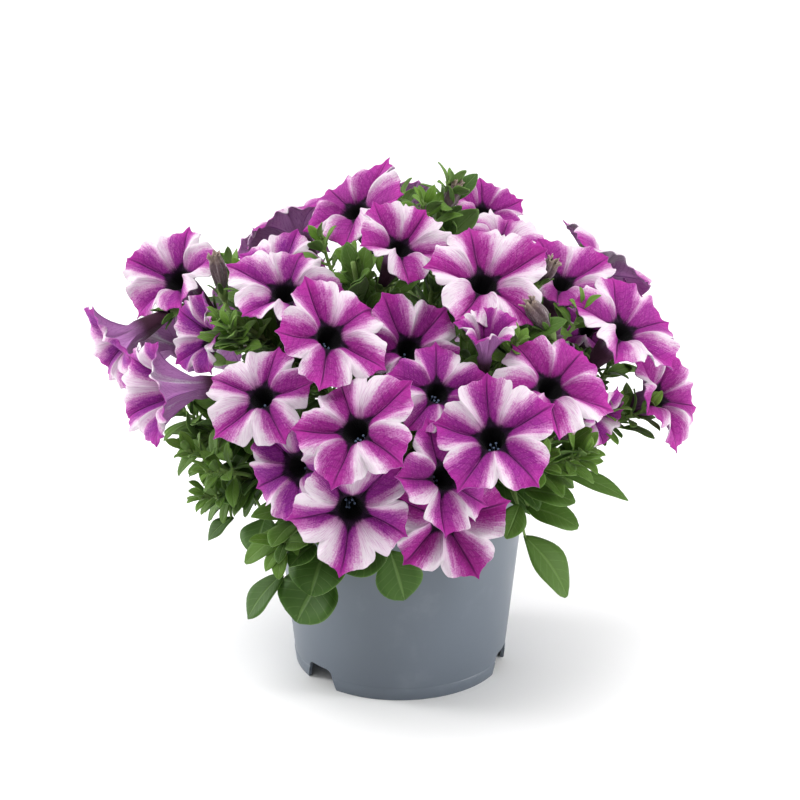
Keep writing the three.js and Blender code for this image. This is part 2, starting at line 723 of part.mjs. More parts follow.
// True where a blade would run through a bloom or hide its face.
function blocked(leaf) {
  return [0.35, 0.7, 1].some((u) => {
    const point = leaf.base.clone().lerp(leaf.tip, u);
    return OPEN_BLOOMS.some((row) => {
      const { at, n } = bloomFrame(row);
      const from = point.clone().sub(at);
      const height = from.dot(n);
      const reach = from.addScaledVector(n, -height).length();
      const radius = row[6];
      const nearTube = reach < 8 && height < 0 && height > -1.1 * radius;
      const nearLimb = reach < radius * 1.05 && height > -7 && height < 24;
      return nearTube || nearLimb;
    });
  }) || leaf.tip.z < 12 || nearPot(leaf.tip);
}

function nearPot(point) {
  return point.z < POT.height + 4 && Math.hypot(point.x, point.y) < outerRadius(point.z) + 8;
}

// Leaves round a stem in a spiral, shorter and steeper towards its tip. A leaf that is blocked is turned on.
function spiralLeaves(stem) {
  const [, , , , count, firstTurn] = STEMS[stem];
  const leaves = [];
  for (let j = 0; j < count; j++) {
    const t = 0.45 + (0.54 * j) / Math.max(1, count - 1);
    const root = claim(stem, t);
    const along = curves[stem].getTangent(t);
    const side = v3(0, 0, 1).cross(along).normalize();
    const top = along.clone().cross(side).normalize();
    const young = (t - 0.45) / 0.55;
    const length = (33 - 15 * young) * (0.85 + 0.3 * draw(stem, j));
    const lean = rad(72 - 36 * young);
    for (let tries = 0; tries < 8; tries++) {
      const turn = rad(firstTurn + 137.5 * j + 47 * tries);
      const reach = along.clone().multiplyScalar(Math.cos(lean))
        .addScaledVector(side, Math.sin(lean) * Math.cos(turn))
        .addScaledVector(top, Math.sin(lean) * Math.sin(turn));
      const base = root.clone().addScaledVector(reach, 0.12 * length);
      const tip = root.clone().addScaledVector(reach, length);
      const leaf = { root, base, tip, width: length * 0.4, sag: 0.07, stem };
      if (!blocked(leaf)) {
        leaves.push(leaf);
        break;
      }
    }
  }
  return leaves;
}

function placedLeaves() {
  return PLACED_LEAVES.map(([x, y, z, tipX, tipY, tipZ, width]) => {
    const tip = v3(tipX, tipY, tipZ);
    const start = v3(x, y, z);
    const { stem, t } = nearest(start);
    return { root: claim(stem, t), base: start.lerp(tip, 0.1), tip, width, sag: 0.08, stem };
  });
}

// ---------------------------------------------------------------- putting the plant together

const model = new THREE.Group();

function addMesh(name, solid, colour, roughness) {
  const material = new THREE.MeshStandardMaterial({ color: colour, roughness, metalness: 0, flatShading: true });
  const mesh = new THREE.Mesh(toGeometry(solid), material);
  mesh.name = name;
  model.add(mesh);
}

const number = (i) => String(i + 1).padStart(2, '0');

// Where two blooms touch, the later one is cut clear of the earlier one.
const bloomRooms = [];
OPEN_BLOOMS.forEach((row, i) => {
  const solid = biggest(cutAll(bloomSolid(row, i), bloomRooms));
  bloomRooms.push(bloomSolid(row, i, CLEAR));
  addMesh(`bloom_${number(i)}`, solid, COLOURS.petal, 0.6);
});
SPENT_BLOOMS.forEach((row, i) => {
  const solid = biggest(cutAll(spentSolid(row), bloomRooms));
  bloomRooms.push(spentSolid(row, CLEAR));
  addMesh(`spent_bloom_${number(i)}`, solid, COLOURS.spent, 0.8);
});

// Every flower stalk goes to the stem that passes nearest, and the furthest from its tip leaves it first.
function flowerStalks() {
  const seats = [
    ...OPEN_BLOOMS.map((row) => {
      const { at, n } = bloomFrame(row);
      const base = at.clone().addScaledVector(n, -LIMB.tubeLength * row[6] - 0.6);
      return { n, base, size: 0.8 + row[6] / 140 };
    }),
    ...SPENT_BLOOMS.map(([x, y, z, baseX, baseY, baseZ]) => {
      const base = v3(baseX, baseY, baseZ);
      const n = v3(x, y, z).sub(base).normalize();
      return { n, base: base.addScaledVector(n, -0.6), size: 0.8 };
    }),
  ];
  for (const seat of seats) {
    const { stem, t } = nearest(seat.base.clone().addScaledVector(seat.n, -12));
    seat.stem = stem;
    seat.wanted = t;
    seat.far = curves[stem].getPoint(1).distanceTo(seat.base);
  }
  STEMS.forEach((_, stem) => {
    const own = seats.filter((seat) => seat.stem === stem).sort((p, q) => q.far - p.far);
    own.forEach((seat, rank) => {
      seat.root = claim(stem, Math.min(seat.wanted, 0.56 + (0.4 * (rank + 1)) / own.length));
    });
  });
  return seats;
}

const stalks = flowerStalks();
const leaves = [...placedLeaves(), ...STEMS.flatMap((_, stem) => spiralLeaves(stem))];

function woodOf(stem, grow) {
  const own = stalks.filter((stalk) => stalk.stem === stem);
  return join([stemSolid(stem, grow), ...own.map((stalk) => calyxAndStalk(stalk, grow))]);
}

function bladesOf(stem, grow) {
  return leaves.filter((leaf) => leaf.stem === stem).map((leaf) => leafSolid(leaf, grow));
}

const woodRooms = STEMS.map((_, stem) => woodOf(stem, CLEAR));
const bladeRooms = [];
const potSpace = potRoom();
STEMS.forEach(([name], stem) => {
  const wood = cutAll(woodOf(stem, 0), [...bloomRooms, ...woodRooms.slice(0, stem)]);
  const otherWood = woodRooms.filter((_, other) => other !== stem);
  const blades = bladesOf(stem, 0).map((blade) => (
    cutAll(blade, [potSpace, ...bloomRooms, ...otherWood, ...bladeRooms])
  ));
  bladeRooms.push(...bladesOf(stem, CLEAR));
  addMesh(name, biggest(join([wood, ...blades])), COLOURS.green, 0.65);
});

const stemHoles = STEMS.map((_, stem) => stemSolid(stem, CLEAR));
addMesh('soil', soilSolid(stemHoles), COLOURS.soil, 0.95);
addMesh('pot', potSolid(), COLOURS.pot, 0.45);

export default model;
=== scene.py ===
"""A petunia in full flower in a plain grey nursery pot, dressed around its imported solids.

Sizes are in millimetres. They turn into metres where a mesh is made.
"""
import math

import bpy
import numpy as np
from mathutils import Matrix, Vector


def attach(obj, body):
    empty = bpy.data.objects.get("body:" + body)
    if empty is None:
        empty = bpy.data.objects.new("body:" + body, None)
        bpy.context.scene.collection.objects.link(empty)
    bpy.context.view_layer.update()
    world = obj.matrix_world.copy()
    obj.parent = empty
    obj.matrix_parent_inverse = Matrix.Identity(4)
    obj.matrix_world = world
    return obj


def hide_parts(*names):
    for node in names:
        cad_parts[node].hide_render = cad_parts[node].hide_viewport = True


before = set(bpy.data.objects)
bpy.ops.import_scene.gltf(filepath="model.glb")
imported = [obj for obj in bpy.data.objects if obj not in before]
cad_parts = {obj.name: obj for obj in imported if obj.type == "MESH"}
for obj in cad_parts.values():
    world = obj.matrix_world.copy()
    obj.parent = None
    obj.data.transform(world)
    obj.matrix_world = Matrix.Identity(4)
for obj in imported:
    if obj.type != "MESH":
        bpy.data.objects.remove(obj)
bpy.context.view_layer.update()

# ---------------------------------------------------------------- the camera
# A long lens a little over a metre away looks 20 degrees down on the plant, as in a catalogue
# photograph. Its sizes are in metres, apart from the lens and the sensor, which are in millimetres.
LOOK_DOWN = math.radians(20.41)
DISTANCE = 1.1
AIM_HEIGHT = 0.1329
LENS, SENSOR = 104.33, 36
scene = bpy.context.scene
eye = bpy.data.objects.new("camera", bpy.data.cameras.new("camera"))
eye.data.sensor_width = SENSOR
eye.data.lens = LENS
eye.location = (0, -DISTANCE * math.cos(LOOK_DOWN), AIM_HEIGHT + DISTANCE * math.sin(LOOK_DOWN))
eye.rotation_euler = (math.pi / 2 - LOOK_DOWN, 0, 0)
scene.collection.objects.link(eye)
scene.camera = eye
scene.view_settings.view_transform = "Standard"

# ---------------------------------------------------------------- the pot
# One piece of injection-moulded plastic: a tapered wall, a lip, a raised floor with a rounded corner,
# and a foot ring cut by three drainage notches. The plastic is blue-grey, satin and finely grained.
MM = 0.001
POT_HEIGHT, POT_FOOT, POT_TAPER, POT_WALL = 105, 51, 0.105, 1.5
POT_FLOOR, POT_CORNER, POT_SKIRT, POT_PAD = 8, 12, 13.4, 14
LIP, LIP_DEPTH = 2.2, 6
FOOT_BAND, FOOT_BAND_HEIGHT = 0.25, 6.1
NOTCH_BEARINGS, NOTCH_WIDTH, NOTCH_HEIGHT = (-48, 72, 192), 20, 10
NOTCH_FLARE, NOTCH_LEAN, NOTCH_ROUND = 1.5, 1, 3
NOTCH_OUTSIDE, NOTCH_INSIDE = 4, 6
DRAIN_HOLES, DRAIN_RADIUS, DRAIN_RING = 4, 4, 30
DRAIN_BOTTOM, DRAIN_TOP = 4, 14
POT_SEGMENTS, DRAIN_SEGMENTS = 192, 32
SHARP_EDGE = math.radians(34)
POT_GREY, POT_SHADE = (0.114, 0.138, 0.170, 1), (0.102, 0.124, 0.154, 1)
POT_DUST = (0.30, 0.33, 0.36, 1)


def pot_radius(z):
    return POT_FOOT + POT_TAPER * z


def corner_arc(inset, first, last, steps):
    """The rounded lower corner, from the floor at 0 degrees to the wall at 90."""
    middle_z = POT_FLOOR + POT_CORNER
    middle_r = pot_radius(middle_z) - POT_CORNER
    reach = POT_CORNER - inset
    for k in range(steps + 1):
        angle = math.radians(first + (last - first) * k / steps)
        yield middle_r + reach * math.sin(angle), middle_z - reach * math.cos(angle)


def new_mesh(name, points, faces, smooth=True):
    """A mesh object in the shared frame from points in millimetres."""
    mesh = bpy.data.meshes.new(name)
    mesh.from_pydata((np.asarray(points, float) * MM).tolist(), [], faces)
    mesh.validate()
    mesh.shade_smooth() if smooth else mesh.shade_flat()
    thing = bpy.data.objects.new(name, mesh)
    scene.collection.objects.link(thing)
    return thing


def lathe(name, profile, segments):
    """A closed turned piece from a profile that starts and ends on the axis."""
    points, faces = [], []
    rings = []
    for r, z in profile:
        first = len(points)
        count = 1 if r == 0 else segments
        for k in range(count):
            angle = 2 * math.pi * k / segments
            points.append((r * math.sin(angle), -r * math.cos(angle), z))
        rings.append([first + k % count for k in range(segments + 1)])
    for low, high in zip(rings, rings[1:]):
        for k in range(segments):
            face = [low[k], low[k + 1], high[k + 1], high[k]]
            faces.append([i for n, i in enumerate(face) if i not in face[:n]])
    return new_mesh(name, points, faces)


def cut(thing, cutter):
    """Takes a cutter's shape out of a piece."""
    knife = thing.modifiers.new("cut", "BOOLEAN")
    knife.operation, knife.object, knife.solver = "DIFFERENCE", cutter, "EXACT"
    graph = bpy.context.evaluated_depsgraph_get()
    shaped = bpy.data.meshes.new_from_object(thing.evaluated_get(graph))
    thing.modifiers.clear()
    thing.data = shaped
    bpy.data.objects.remove(cutter)


def pot_notch(bearing):
    """A wedge across the foot ring, wider at the ground than at its rounded top."""
    half = POT_FOOT * math.tan(math.radians(NOTCH_WIDTH / 2))
    outline = [(-half - NOTCH_FLARE, -1), (half + NOTCH_FLARE, -1)]
    for a in (0, 0.5, 1.05, 1.57):
        x = half - NOTCH_LEAN - NOTCH_ROUND * (1 - math.cos(a))
        outline.append((x, NOTCH_HEIGHT - NOTCH_ROUND + NOTCH_ROUND * math.sin(a)))
    outline += [(-x, z) for x, z in reversed(outline[2:])]
    turn = math.radians(bearing)
    points = [
        (x * math.cos(turn) - y * math.sin(turn), x * math.sin(turn) + y * math.cos(turn), z)
        for y in (-POT_FOOT - NOTCH_OUTSIDE, -POT_FOOT + NOTCH_INSIDE) for x, z in outline
    ]
    count = len(outline)
    faces = [list(range(count)), list(range(2 * count - 1, count - 1, -1))]
    faces += [[k, k + count, (k + 1) % count + count, (k + 1) % count] for k in range(count)]
    return new_mesh("notch", points, faces, smooth=False)


def drain_hole(index):
    angle = 2 * math.pi * (index + 0.5) / DRAIN_HOLES
    profile = [(0, DRAIN_BOTTOM), (DRAIN_RADIUS, DRAIN_BOTTOM), (DRAIN_RADIUS, DRAIN_TOP), (0, DRAIN_TOP)]
    hole = lathe("hole", profile, DRAIN_SEGMENTS)
    hole.location = (DRAIN_RING * math.cos(angle) * MM, DRAIN_RING * math.sin(angle) * MM, 0)
    return hole


class Value:
    """One output of a material's nodes. Sums and products of it add Math nodes."""

    def __init__(self, finish, socket):
        self.finish, self.socket = finish, socket

    def maths(self, operation, *inputs):
        return self.finish.node("Math", {"operation": operation}, dict(enumerate(inputs)))

    def __add__(self, other):
        return self.maths("ADD", self, other)

    def __sub__(self, other):
        return self.maths("SUBTRACT", self, other)

    def __rsub__(self, other):
        return self.maths("SUBTRACT", other, self)

    def __mul__(self, other):
        return self.maths("MULTIPLY", self, other)

    def __pow__(self, other):
        return self.maths("POWER", self, other)

    __radd__, __rmul__ = __add__, __mul__


class Finish:
    """A material with one Principled shader. What is the same all over is set on the shader itself."""

    def __init__(self, name, sockets):
        self.material = bpy.data.materials.new(name)
        self.material.use_nodes = True
        self.tree = self.material.node_tree
        self.shader = self.tree.nodes["Principled BSDF"]
        self.feed(self.shader, sockets)

    def feed(self, node, sockets):
        for key, value in sockets.items():
            socket = node.inputs[key]
            if isinstance(value, Value):
                self.tree.links.new(value.socket, socket)
            else:
                socket.default_value = value

    def node(self, kind, settings=None, sockets=None, out=0):
        """One node of a kind, its settings first, then its sockets. Stops are a ramp's."""
        node = self.tree.nodes.new("ShaderNode" + kind)
        for key, value in (settings or {}).items():
            if key == "stops":
                ramp = node.color_ramp.elements
                while len(ramp) < len(value):
                    ramp.new(1)
                for stop, (place, colour) in zip(ramp, value):
                    stop.position, stop.color = place, colour
            else:
                setattr(node, key, value)
        self.feed(node, sockets or {})
        return Value(self, node.outputs[out])

    def mix(self, share, first, second):
        return self.node("Mix", {"data_type": "RGBA"}, {0: share, 6: first, 7: second}, out=2)

    def rise(self, value, low, high):
        """0 below low, 1 above high and smooth between."""
        ends = {"Value": value, "From Min": low, "From Max": high}
        return self.node("MapRange", {"interpolation_type": "SMOOTHSTEP"}, ends)

    def carried(self, name, out="Fac"):
        """A value that the mesh carries."""
        return self.node("Attribute", {"attribute_name": name}, out=out)

    def noise(self, vector, scale, detail=2.0):
        return self.node("TexNoise", None, {"Vector": vector, "Scale": scale, "Detail": detail})

    def place(self):
        return self.node("TexCoord", None, None, out="Object")

    def paint(self, socket, value):
        self.feed(self.shader, {socket: value})

    def bump(self, height, distance, strength=1.0):
        relief = self.node("Bump", None, {"Height": height, "Distance": distance, "Strength": strength})
        self.paint("Normal", relief)


def pot_finish():
    finish = Finish("pot_plastic", {"Specular IOR Level": 0.5})
    place = finish.place()
    cloud = finish.noise(place, 26.0)
    grain = finish.noise(place, 1500.0)
    dust = finish.rise(finish.noise(place, 60.0, 4.0), 0.55, 0.8)
    colour = finish.mix(cloud, POT_SHADE, POT_GREY)
    finish.paint("Base Color", finish.mix(dust * 0.14, colour, POT_DUST))
    finish.paint("Roughness", 0.34 + 0.10 * cloud + 0.12 * dust)
    finish.bump(grain, 0.00006, 0.35)
    return finish.material


foot, top = pot_radius(0), pot_radius(POT_HEIGHT) + LIP
rim = POT_HEIGHT - LIP_DEPTH
lip_foot = pot_radius(rim) + LIP
pot = lathe("pot_moulding", [
    # The middle foot and the rounded corner, seen from below.
    (0, 0), (POT_PAD, 0), (POT_PAD + 0.5, 0.5),
    (POT_PAD + 1.6, POT_FLOOR - 0.6), (POT_PAD + 2.2, POT_FLOOR),
    *corner_arc(0, 0, 28, 6),
    # The foot ring with its band.
    (pot_radius(POT_SKIRT) - POT_WALL, POT_SKIRT), (foot - POT_WALL, 0.3), (foot - POT_WALL + 0.3, 0),
    (foot - 0.3 + FOOT_BAND, 0), (foot + FOOT_BAND, 0.4),
    (pot_radius(FOOT_BAND_HEIGHT) + FOOT_BAND, FOOT_BAND_HEIGHT - 0.3),
    (pot_radius(FOOT_BAND_HEIGHT), FOOT_BAND_HEIGHT + 0.2),
    # The outside of the wall, the lip and the inside.
    *[(pot_radius(z), z) for z in np.linspace(FOOT_BAND_HEIGHT + 1, rim - 0.6, 14)],
    (pot_radius(rim) + 0.25, rim), (lip_foot - 0.4, rim + 0.6), (lip_foot, rim + 1.1),
    (top, POT_HEIGHT - 0.5), (top - 0.5, POT_HEIGHT),
    (top - POT_WALL + 0.4, POT_HEIGHT), (top - POT_WALL, POT_HEIGHT - 0.4),
    (lip_foot - POT_WALL - 0.2, rim + 1.6), (pot_radius(rim) - POT_WALL, rim),
    *corner_arc(POT_WALL, 90, 0, 10),
    (0, POT_FLOOR + POT_WALL),
], POT_SEGMENTS)
for bearing in NOTCH_BEARINGS:
    cut(pot, pot_notch(bearing))
for hole in range(DRAIN_HOLES):
    cut(pot, drain_hole(hole))
pot.data.set_sharp_from_angle(angle=SHARP_EDGE)
pot.data.materials.clear()
pot.data.materials.append(pot_finish())
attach(pot, "root")
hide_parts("pot")


# ---------------------------------------------------------------- the soil
# Dark peat with crumbs of bark and fibre, filled to 12 mm below the rim and heaped a little in the
# middle. It lies half a millimetre clear of the pot's wall.
SOIL_TOP, SOIL_CROWN, SOIL_LUMP, SOIL_GAP = 93, 3, 1.2, 0.5
SOIL_SEGMENTS, SOIL_RINGS, SOIL_CRUMBS = 144, 44, 420
PEAT_DARK, PEAT_LIGHT = (0.012, 0.008, 0.006, 1), (0.060, 0.036, 0.022, 1)
PEAT_FIBRE = (0.16, 0.10, 0.06, 1)


def draw(i, j):
    """A repeatable draw between 0 and 1 for two whole numbers."""
    value = math.sin(i * 12.9898 + j * 78.233) * 43758.5453
    return value - math.floor(value)


def soil_height(x, y, edge):
    share = min(1, math.hypot(x, y) / edge)
    lumps = math.sin(x * 0.31 + 1.3) * math.sin(y * 0.27 + 0.4) + 0.6 * math.sin(x * 0.83 + y * 0.57)
    fine = math.sin(x * 2.1 + 2 * math.sin(y * 1.3)) * math.sin(y * 2.3 + 1.7 * math.sin(x * 1.1))
    return SOIL_TOP - 0.6 + SOIL_CROWN * (1 - share ** 2) + 0.5 * SOIL_LUMP * lumps + 0.35 * fine


def crumb(points, faces, centre, size, seed):
    """A small lump with eight uneven corners."""
    first = len(points)
    for k in range(8):
        signs = [(k & 1) - 0.5, (k >> 1 & 1) - 0.5, (k >> 2 & 1) - 0.5]
        reach = [size * v * (0.6 + 0.8 * draw(seed, k + 8 * n)) for n, v in enumerate(signs)]
        points.append([c + r for c, r in zip(centre, reach)])
    for face in ((0, 2, 3, 1), (4, 5, 7, 6), (0, 1, 5, 4), (2, 6, 7, 3), (0, 4, 6, 2), (1, 3, 7, 5)):
        faces.append([first + i for i in face])


def wrap(faces, first, columns, rows, inward=False):
    """Joins rows of points, equally many in each, into a closed skin with a face over each end."""
    for row in range(rows - 1):
        low, high = first + row * columns, first + (row + 1) * columns
        for c in range(columns):
            after = (c + 1) % columns
            face = [low + c, low + after, high + after, high + c]
            faces.append(face[:1] + face[:0:-1] if inward else face)
    for end, turned in ((first, not inward), (first + (rows - 1) * columns, inward)):
        faces.append([end + c for c in range(columns)][::-1 if turned else 1])


def soil_piece():
    edge = pot_radius(SOIL_TOP) - POT_WALL - SOIL_GAP
    turns = [2 * math.pi * k / SOIL_SEGMENTS for k in range(SOIL_SEGMENTS)]
    side = [*corner_arc(POT_WALL + SOIL_GAP, 0, 90, 6), (edge, SOIL_TOP - 2)]
    points = [(r * math.cos(a), r * math.sin(a), z) for r, z in side for a in turns]
    for n in range(SOIL_RINGS):
        r = edge * (1 - n / SOIL_RINGS)
        places = [(r * math.cos(a), r * math.sin(a)) for a in turns]
        points += [(x, y, soil_height(x, y, edge)) for x, y in places]
    faces = []
    wrap(faces, 0, SOIL_SEGMENTS, len(side) + SOIL_RINGS)
    for n in range(SOIL_CRUMBS):
        r, a = (edge - 2) * math.sqrt(draw(n, 1)), 2 * math.pi * draw(n, 2)
        x, y = r * math.cos(a), r * math.sin(a)
        crumb(points, faces, (x, y, soil_height(x, y, edge) + 0.1), 1.0 + 2.2 * draw(n, 3) ** 2, n)
    return new_mesh("peat", points, faces)


def soil_finish():
    finish = Finish("peat", {"Roughness": 0.95, "Specular IOR Level": 0.2})
    place = finish.place()
    lumps = finish.noise(place, 260.0, 5.0)
    fibres = finish.rise(finish.noise(place, 900.0, 2.0), 0.62, 0.7)
    colour = finish.mix(lumps, PEAT_DARK, PEAT_LIGHT)
    finish.paint("Base Color", finish.mix(fibres, colour, PEAT_FIBRE))
    finish.bump(lumps + 0.4 * fibres, 0.0012)
    return finish.material


soil = soil_piece()
soil.data.materials.append(soil_finish())
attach(soil, "root")
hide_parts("soil")


# ---------------------------------------------------------------- the open blooms
# Each is one soft corolla half a millimetre thick: five ruffled lobes with a pointed tip, round a dark
# throat that goes down into a maroon tube. Magenta rays run along the midribs and fade to white at the
# cuts. A calyx of the leafy stems holds the end of the tube.
#
# A row holds the middle of the throat x, y, z, the bearing and the lift that the bloom faces, the turn
# of its first lobe, the radius of its limb, how deep it cups, how white and how violet it is.
OPEN_BLOOMS = [
    (-106, 24, 185, -45, 46, 53, 29, 0.3, 0.45, 0.5),
    (-21, 14, 222, -50, 60, 66, 28, 0.25, 0.45, 0.3),
    (0, -40, 220, 35, 56, 60, 24, 0.3, 0.6, 0.2),
    (37, -54, 208, 20, 58, 3, 31, 0.25, 0.75, 0.1),
    (41, 65, 207, 40, 60, 30, 22, 0.3, 0.4, 0.3),
    (74, -19, 197, 35, 66, 10, 27, 0.25, 0.4, 0.3),
    (100, -46, 183, 50, 50, 27, 28, 0.25, 0.5, 0.35),
    (118, -32, 146, 55, 30, 50, 27, 0.33, 0.45, 0.2),
    (65, -92, 173, 30, 54, 59, 29, 0.22, 0.5, 0.15),
    (-30, -92, 196, 25, 42, 61, 28, 0.17, 0.6, 0.2),
    (4, -74, 184, 20, 42, 53, 26, 0.25, 0.2, 0.35),
    (16, -99, 173, 15, 42, 9, 23, 0.17, 0.45, 0.5),
    (-60, -88, 167, -22, 50, 67, 26, 0.15, 0.7, 0.35),
    (-19, -120, 164, -25, 44, 38, 29, 0.17, 0.6, 0.2),
    (39, -119, 160, -10, 45, 58, 28, 0.2, 0.45, 0.45),
    (-45, -97, 138, -38, 12, 17, 25, 0.25, 0.5, 0.8),
    (-21, -120, 128, 4, 2, 42, 28, 0.15, 0.65, 0.6),
    (19, -119, 142, 35, 25, 63, 27, 0.2, 0.35, 0.4),
    (19, -101, 115, 8, 11, 7, 28, 0.15, 0.6, 0.1),
    (-51, -49, 202, 0, 62, 13, 28, 0.2, 0.75, 0.5),
    (-128, -6, 166, -62, -22, 10, 24, 0.5, 0.3, 0.9),
    (-96, -58, 160, -62, 5, 10, 25, 0.8, 0.5, 0.8),
    (-85, -34, 176, -55, 15, 0, 20, 0.45, 0.4, 0.9),
    (-56, -8, 200, -20, 72, 0, 24, 0.2, 0.5, 0.8),
    (37, -84, 187, 10, 75, 0, 14, 1.0, 0.3, 0.5),
    (86, -14, 172, 20, 60, 30, 16, 0.3, 0.2, 0.6),
    (88, -53, 146, 50, -15, 20, 16, 0.4, 0.3, 0.6),
    (48, 20, 206, 80, 72, 15, 26, 0.2, 0.5, 0.3),
    (-6, 72, 206, 185, 55, 40, 28, 0.2, 0.5, 0.4),
    (-52, 51, 204, 228, 52, 5, 27, 0.25, 0.55, 0.4),
    (112, 34, 152, 104, 18, 22, 26, 0.3, 0.5, 0.3),
    (84, 88, 138, 136, 12, 50, 28, 0.25, 0.45, 0.4),
    (28, 116, 134, 166, 8, 10, 28, 0.2, 0.6, 0.3),
    (-36, 114, 136, 197, 12, 33, 28, 0.25, 0.5, 0.5),
    (-88, 82, 140, 228, 10, 62, 28, 0.2, 0.55, 0.4),
    (-114, 34, 150, 256, 14, 25, 25, 0.3, 0.45, 0.5),
    (98, 48, 185, 112, 42, 44, 27, 0.25, 0.55, 0.3),
    (40, 96, 178, 156, 38, 12, 28, 0.2, 0.5, 0.4),
    (-56, 88, 180, 208, 40, 30, 28, 0.25, 0.6, 0.3),
]
PETAL_THICK = 0.5
THROAT, TUBE_END, TUBE_LENGTH, PIT = 0.2, 0.075, 1.12, 0.55
LOBE_EDGE, LOBE_TIP, TIP_WIDTH, SHOULDER, CUT, CUT_FROM = 0.866, 0.150, 0.12, 0.020, 0.17, 0.68
REFLEX, FOLD, RUFFLE, SADDLE, RIPPLE, CURL, RIB = 0.1, 0.10, 0.085, 0.075, 0.035, 0.24, 0.030
SWAY, WHITE_SPREAD = 0.16, 0.90
LOBE_COLUMNS = 32
THROAT_STOPS = (1.0, 0.8, 0.6, 0.4, 0.22, 0.09)
LIMB_STOPS = (0, 0.04, 0.09, 0.15, 0.22, 0.30, 0.39, 0.48, 0.57, 0.66, 0.75, 0.83, 0.90, 0.95, 0.985, 1.0)
TUBE_STOPS = (0.12, 0.26, 0.42, 0.60, 0.80, 1.0)
STAMENS, FILAMENT, ANTHER, STIGMA = 5, 0.22, 0.62, 0.55
PETAL = {
    "rosy": (0.262, 0.012, 0.185, 1), "violet": (0.170, 0.013, 0.205, 1),
    "deep rosy": (0.115, 0.003, 0.088, 1), "deep violet": (0.062, 0.003, 0.086, 1),
    "stroke": (0.42, 0.085, 0.33, 1), "tip": (0.40, 0.022, 0.27, 1), "pink": (0.44, 0.155, 0.375, 1),
    "white": (0.62, 0.545, 0.60, 1), "white stroke": (0.42, 0.15, 0.37, 1),
    "midrib": (0.040, 0.002, 0.045, 1), "streak": (0.060, 0.004, 0.062, 1),
    "star": (0.010, 0.001, 0.013, 1), "pit": (0.0012, 0.0005, 0.0015, 1),
    "back": (0.40, 0.17, 0.41, 1), "pale back": (0.62, 0.54, 0.64, 1), "back vein": (0.20, 0.05, 0.23, 1),
    "tube": (0.045, 0.012, 0.030, 1),
}
ANTHER_DARK, ANTHER_LIGHT = (0.05, 0.08, 0.20, 1), (0.22, 0.28, 0.38, 1)
UP = Vector((0, 0, 1))


def heading(bearing, lift):
    """A unit vector for a bearing and a lift in degrees."""
    b, l = math.radians(bearing), math.radians(lift)
    return Vector((math.sin(b) * math.cos(l), -math.cos(b) * math.cos(l), math.sin(l)))


def bloom_frame(row):
    """The middle of the throat, the way that the bloom faces, and the two axes of its limb."""
    n = heading(row[3], row[4])
    a = (UP - n * n.z).normalized()
    return Vector(row[:3]), n, a, a.cross(n)


def lobe_length(index, lobe):
    return 0.90 + 0.18 * draw(index, lobe)


def lobe_reflex(index, lobe):
    return REFLEX * (0.3 + 1.6 * draw(index, lobe + 7))


def lobe_lift(index, lobe):
    return 0.26 * (draw(index, lobe + 13) - 0.5)


def lobe_curl(index, lobe):
    return draw(index, lobe + 29) - 0.40


def smooth(value, low, high):
    share = min(1, max(0, (value - low) / (high - low)))
    return share * share * (3 - 2 * share)


def spoke(a, b, turn):
    """The direction at an angle between two axes."""
    return a * math.cos(turn) + b * math.sin(turn)


def limb(index, lobe, side, s, cup):
    """Reach and height of the limb in limb radii, across a lobe and from throat, 0, to rim, 1."""
    t = abs(side)
    other = (lobe + (side > 0) - (side < 0)) % 5
    share = t * t / 2

    def blend(rule):
        return (1 - share) * rule(index, lobe) + share * rule(index, other)

    around = 2 * math.pi * (lobe + side / 2) / 5
    cut = max(0, (t - CUT_FROM) / (1 - CUT_FROM)) ** 2
    teeth = 0.005 * math.sin(23 * side + 9 * draw(index, lobe)) + 0.003 * math.sin(41 * side + lobe)
    edge = LOBE_EDGE + LOBE_TIP * math.exp(-t / TIP_WIDTH) + SHOULDER * math.sin(math.pi * t) - CUT * cut
    rim = blend(lobe_length) * edge + teeth
    reach = THROAT + (rim - THROAT) * s
    phase = 6.3 * draw(index, lobe + 41)
    ruffle = math.sin(6.5 * side + phase) * t * (1 - 0.5 * t) + 0.3 * math.sin(15 * side + phase) * s ** 4
    height = (
        cup * (1 - (1 - s) ** 2)
        + FOLD * math.sin(math.pi * s ** 0.8) * (2 * t - 1)
        - blend(lobe_reflex) * s ** 3 * (1 - t)
        + blend(lobe_lift) * s * s
        + RUFFLE * ruffle * s ** 3
        + SADDLE * s * s * math.sin(2 * around + 6.3 * draw(index, 77))
        + RIPPLE * s ** 3 * math.sin(3 * around + 6.3 * draw(index, 78))
        - CURL * blend(lobe_curl) * smooth(s, 0.60, 1.0) ** 2 * t * (1.3 - 0.5 * t)
        - RIB * math.exp(-(t / 0.08) ** 2) * math.sin(math.pi * s ** 0.7)
        - RIB * math.exp(-s / 0.07)
    )
    return reach, height


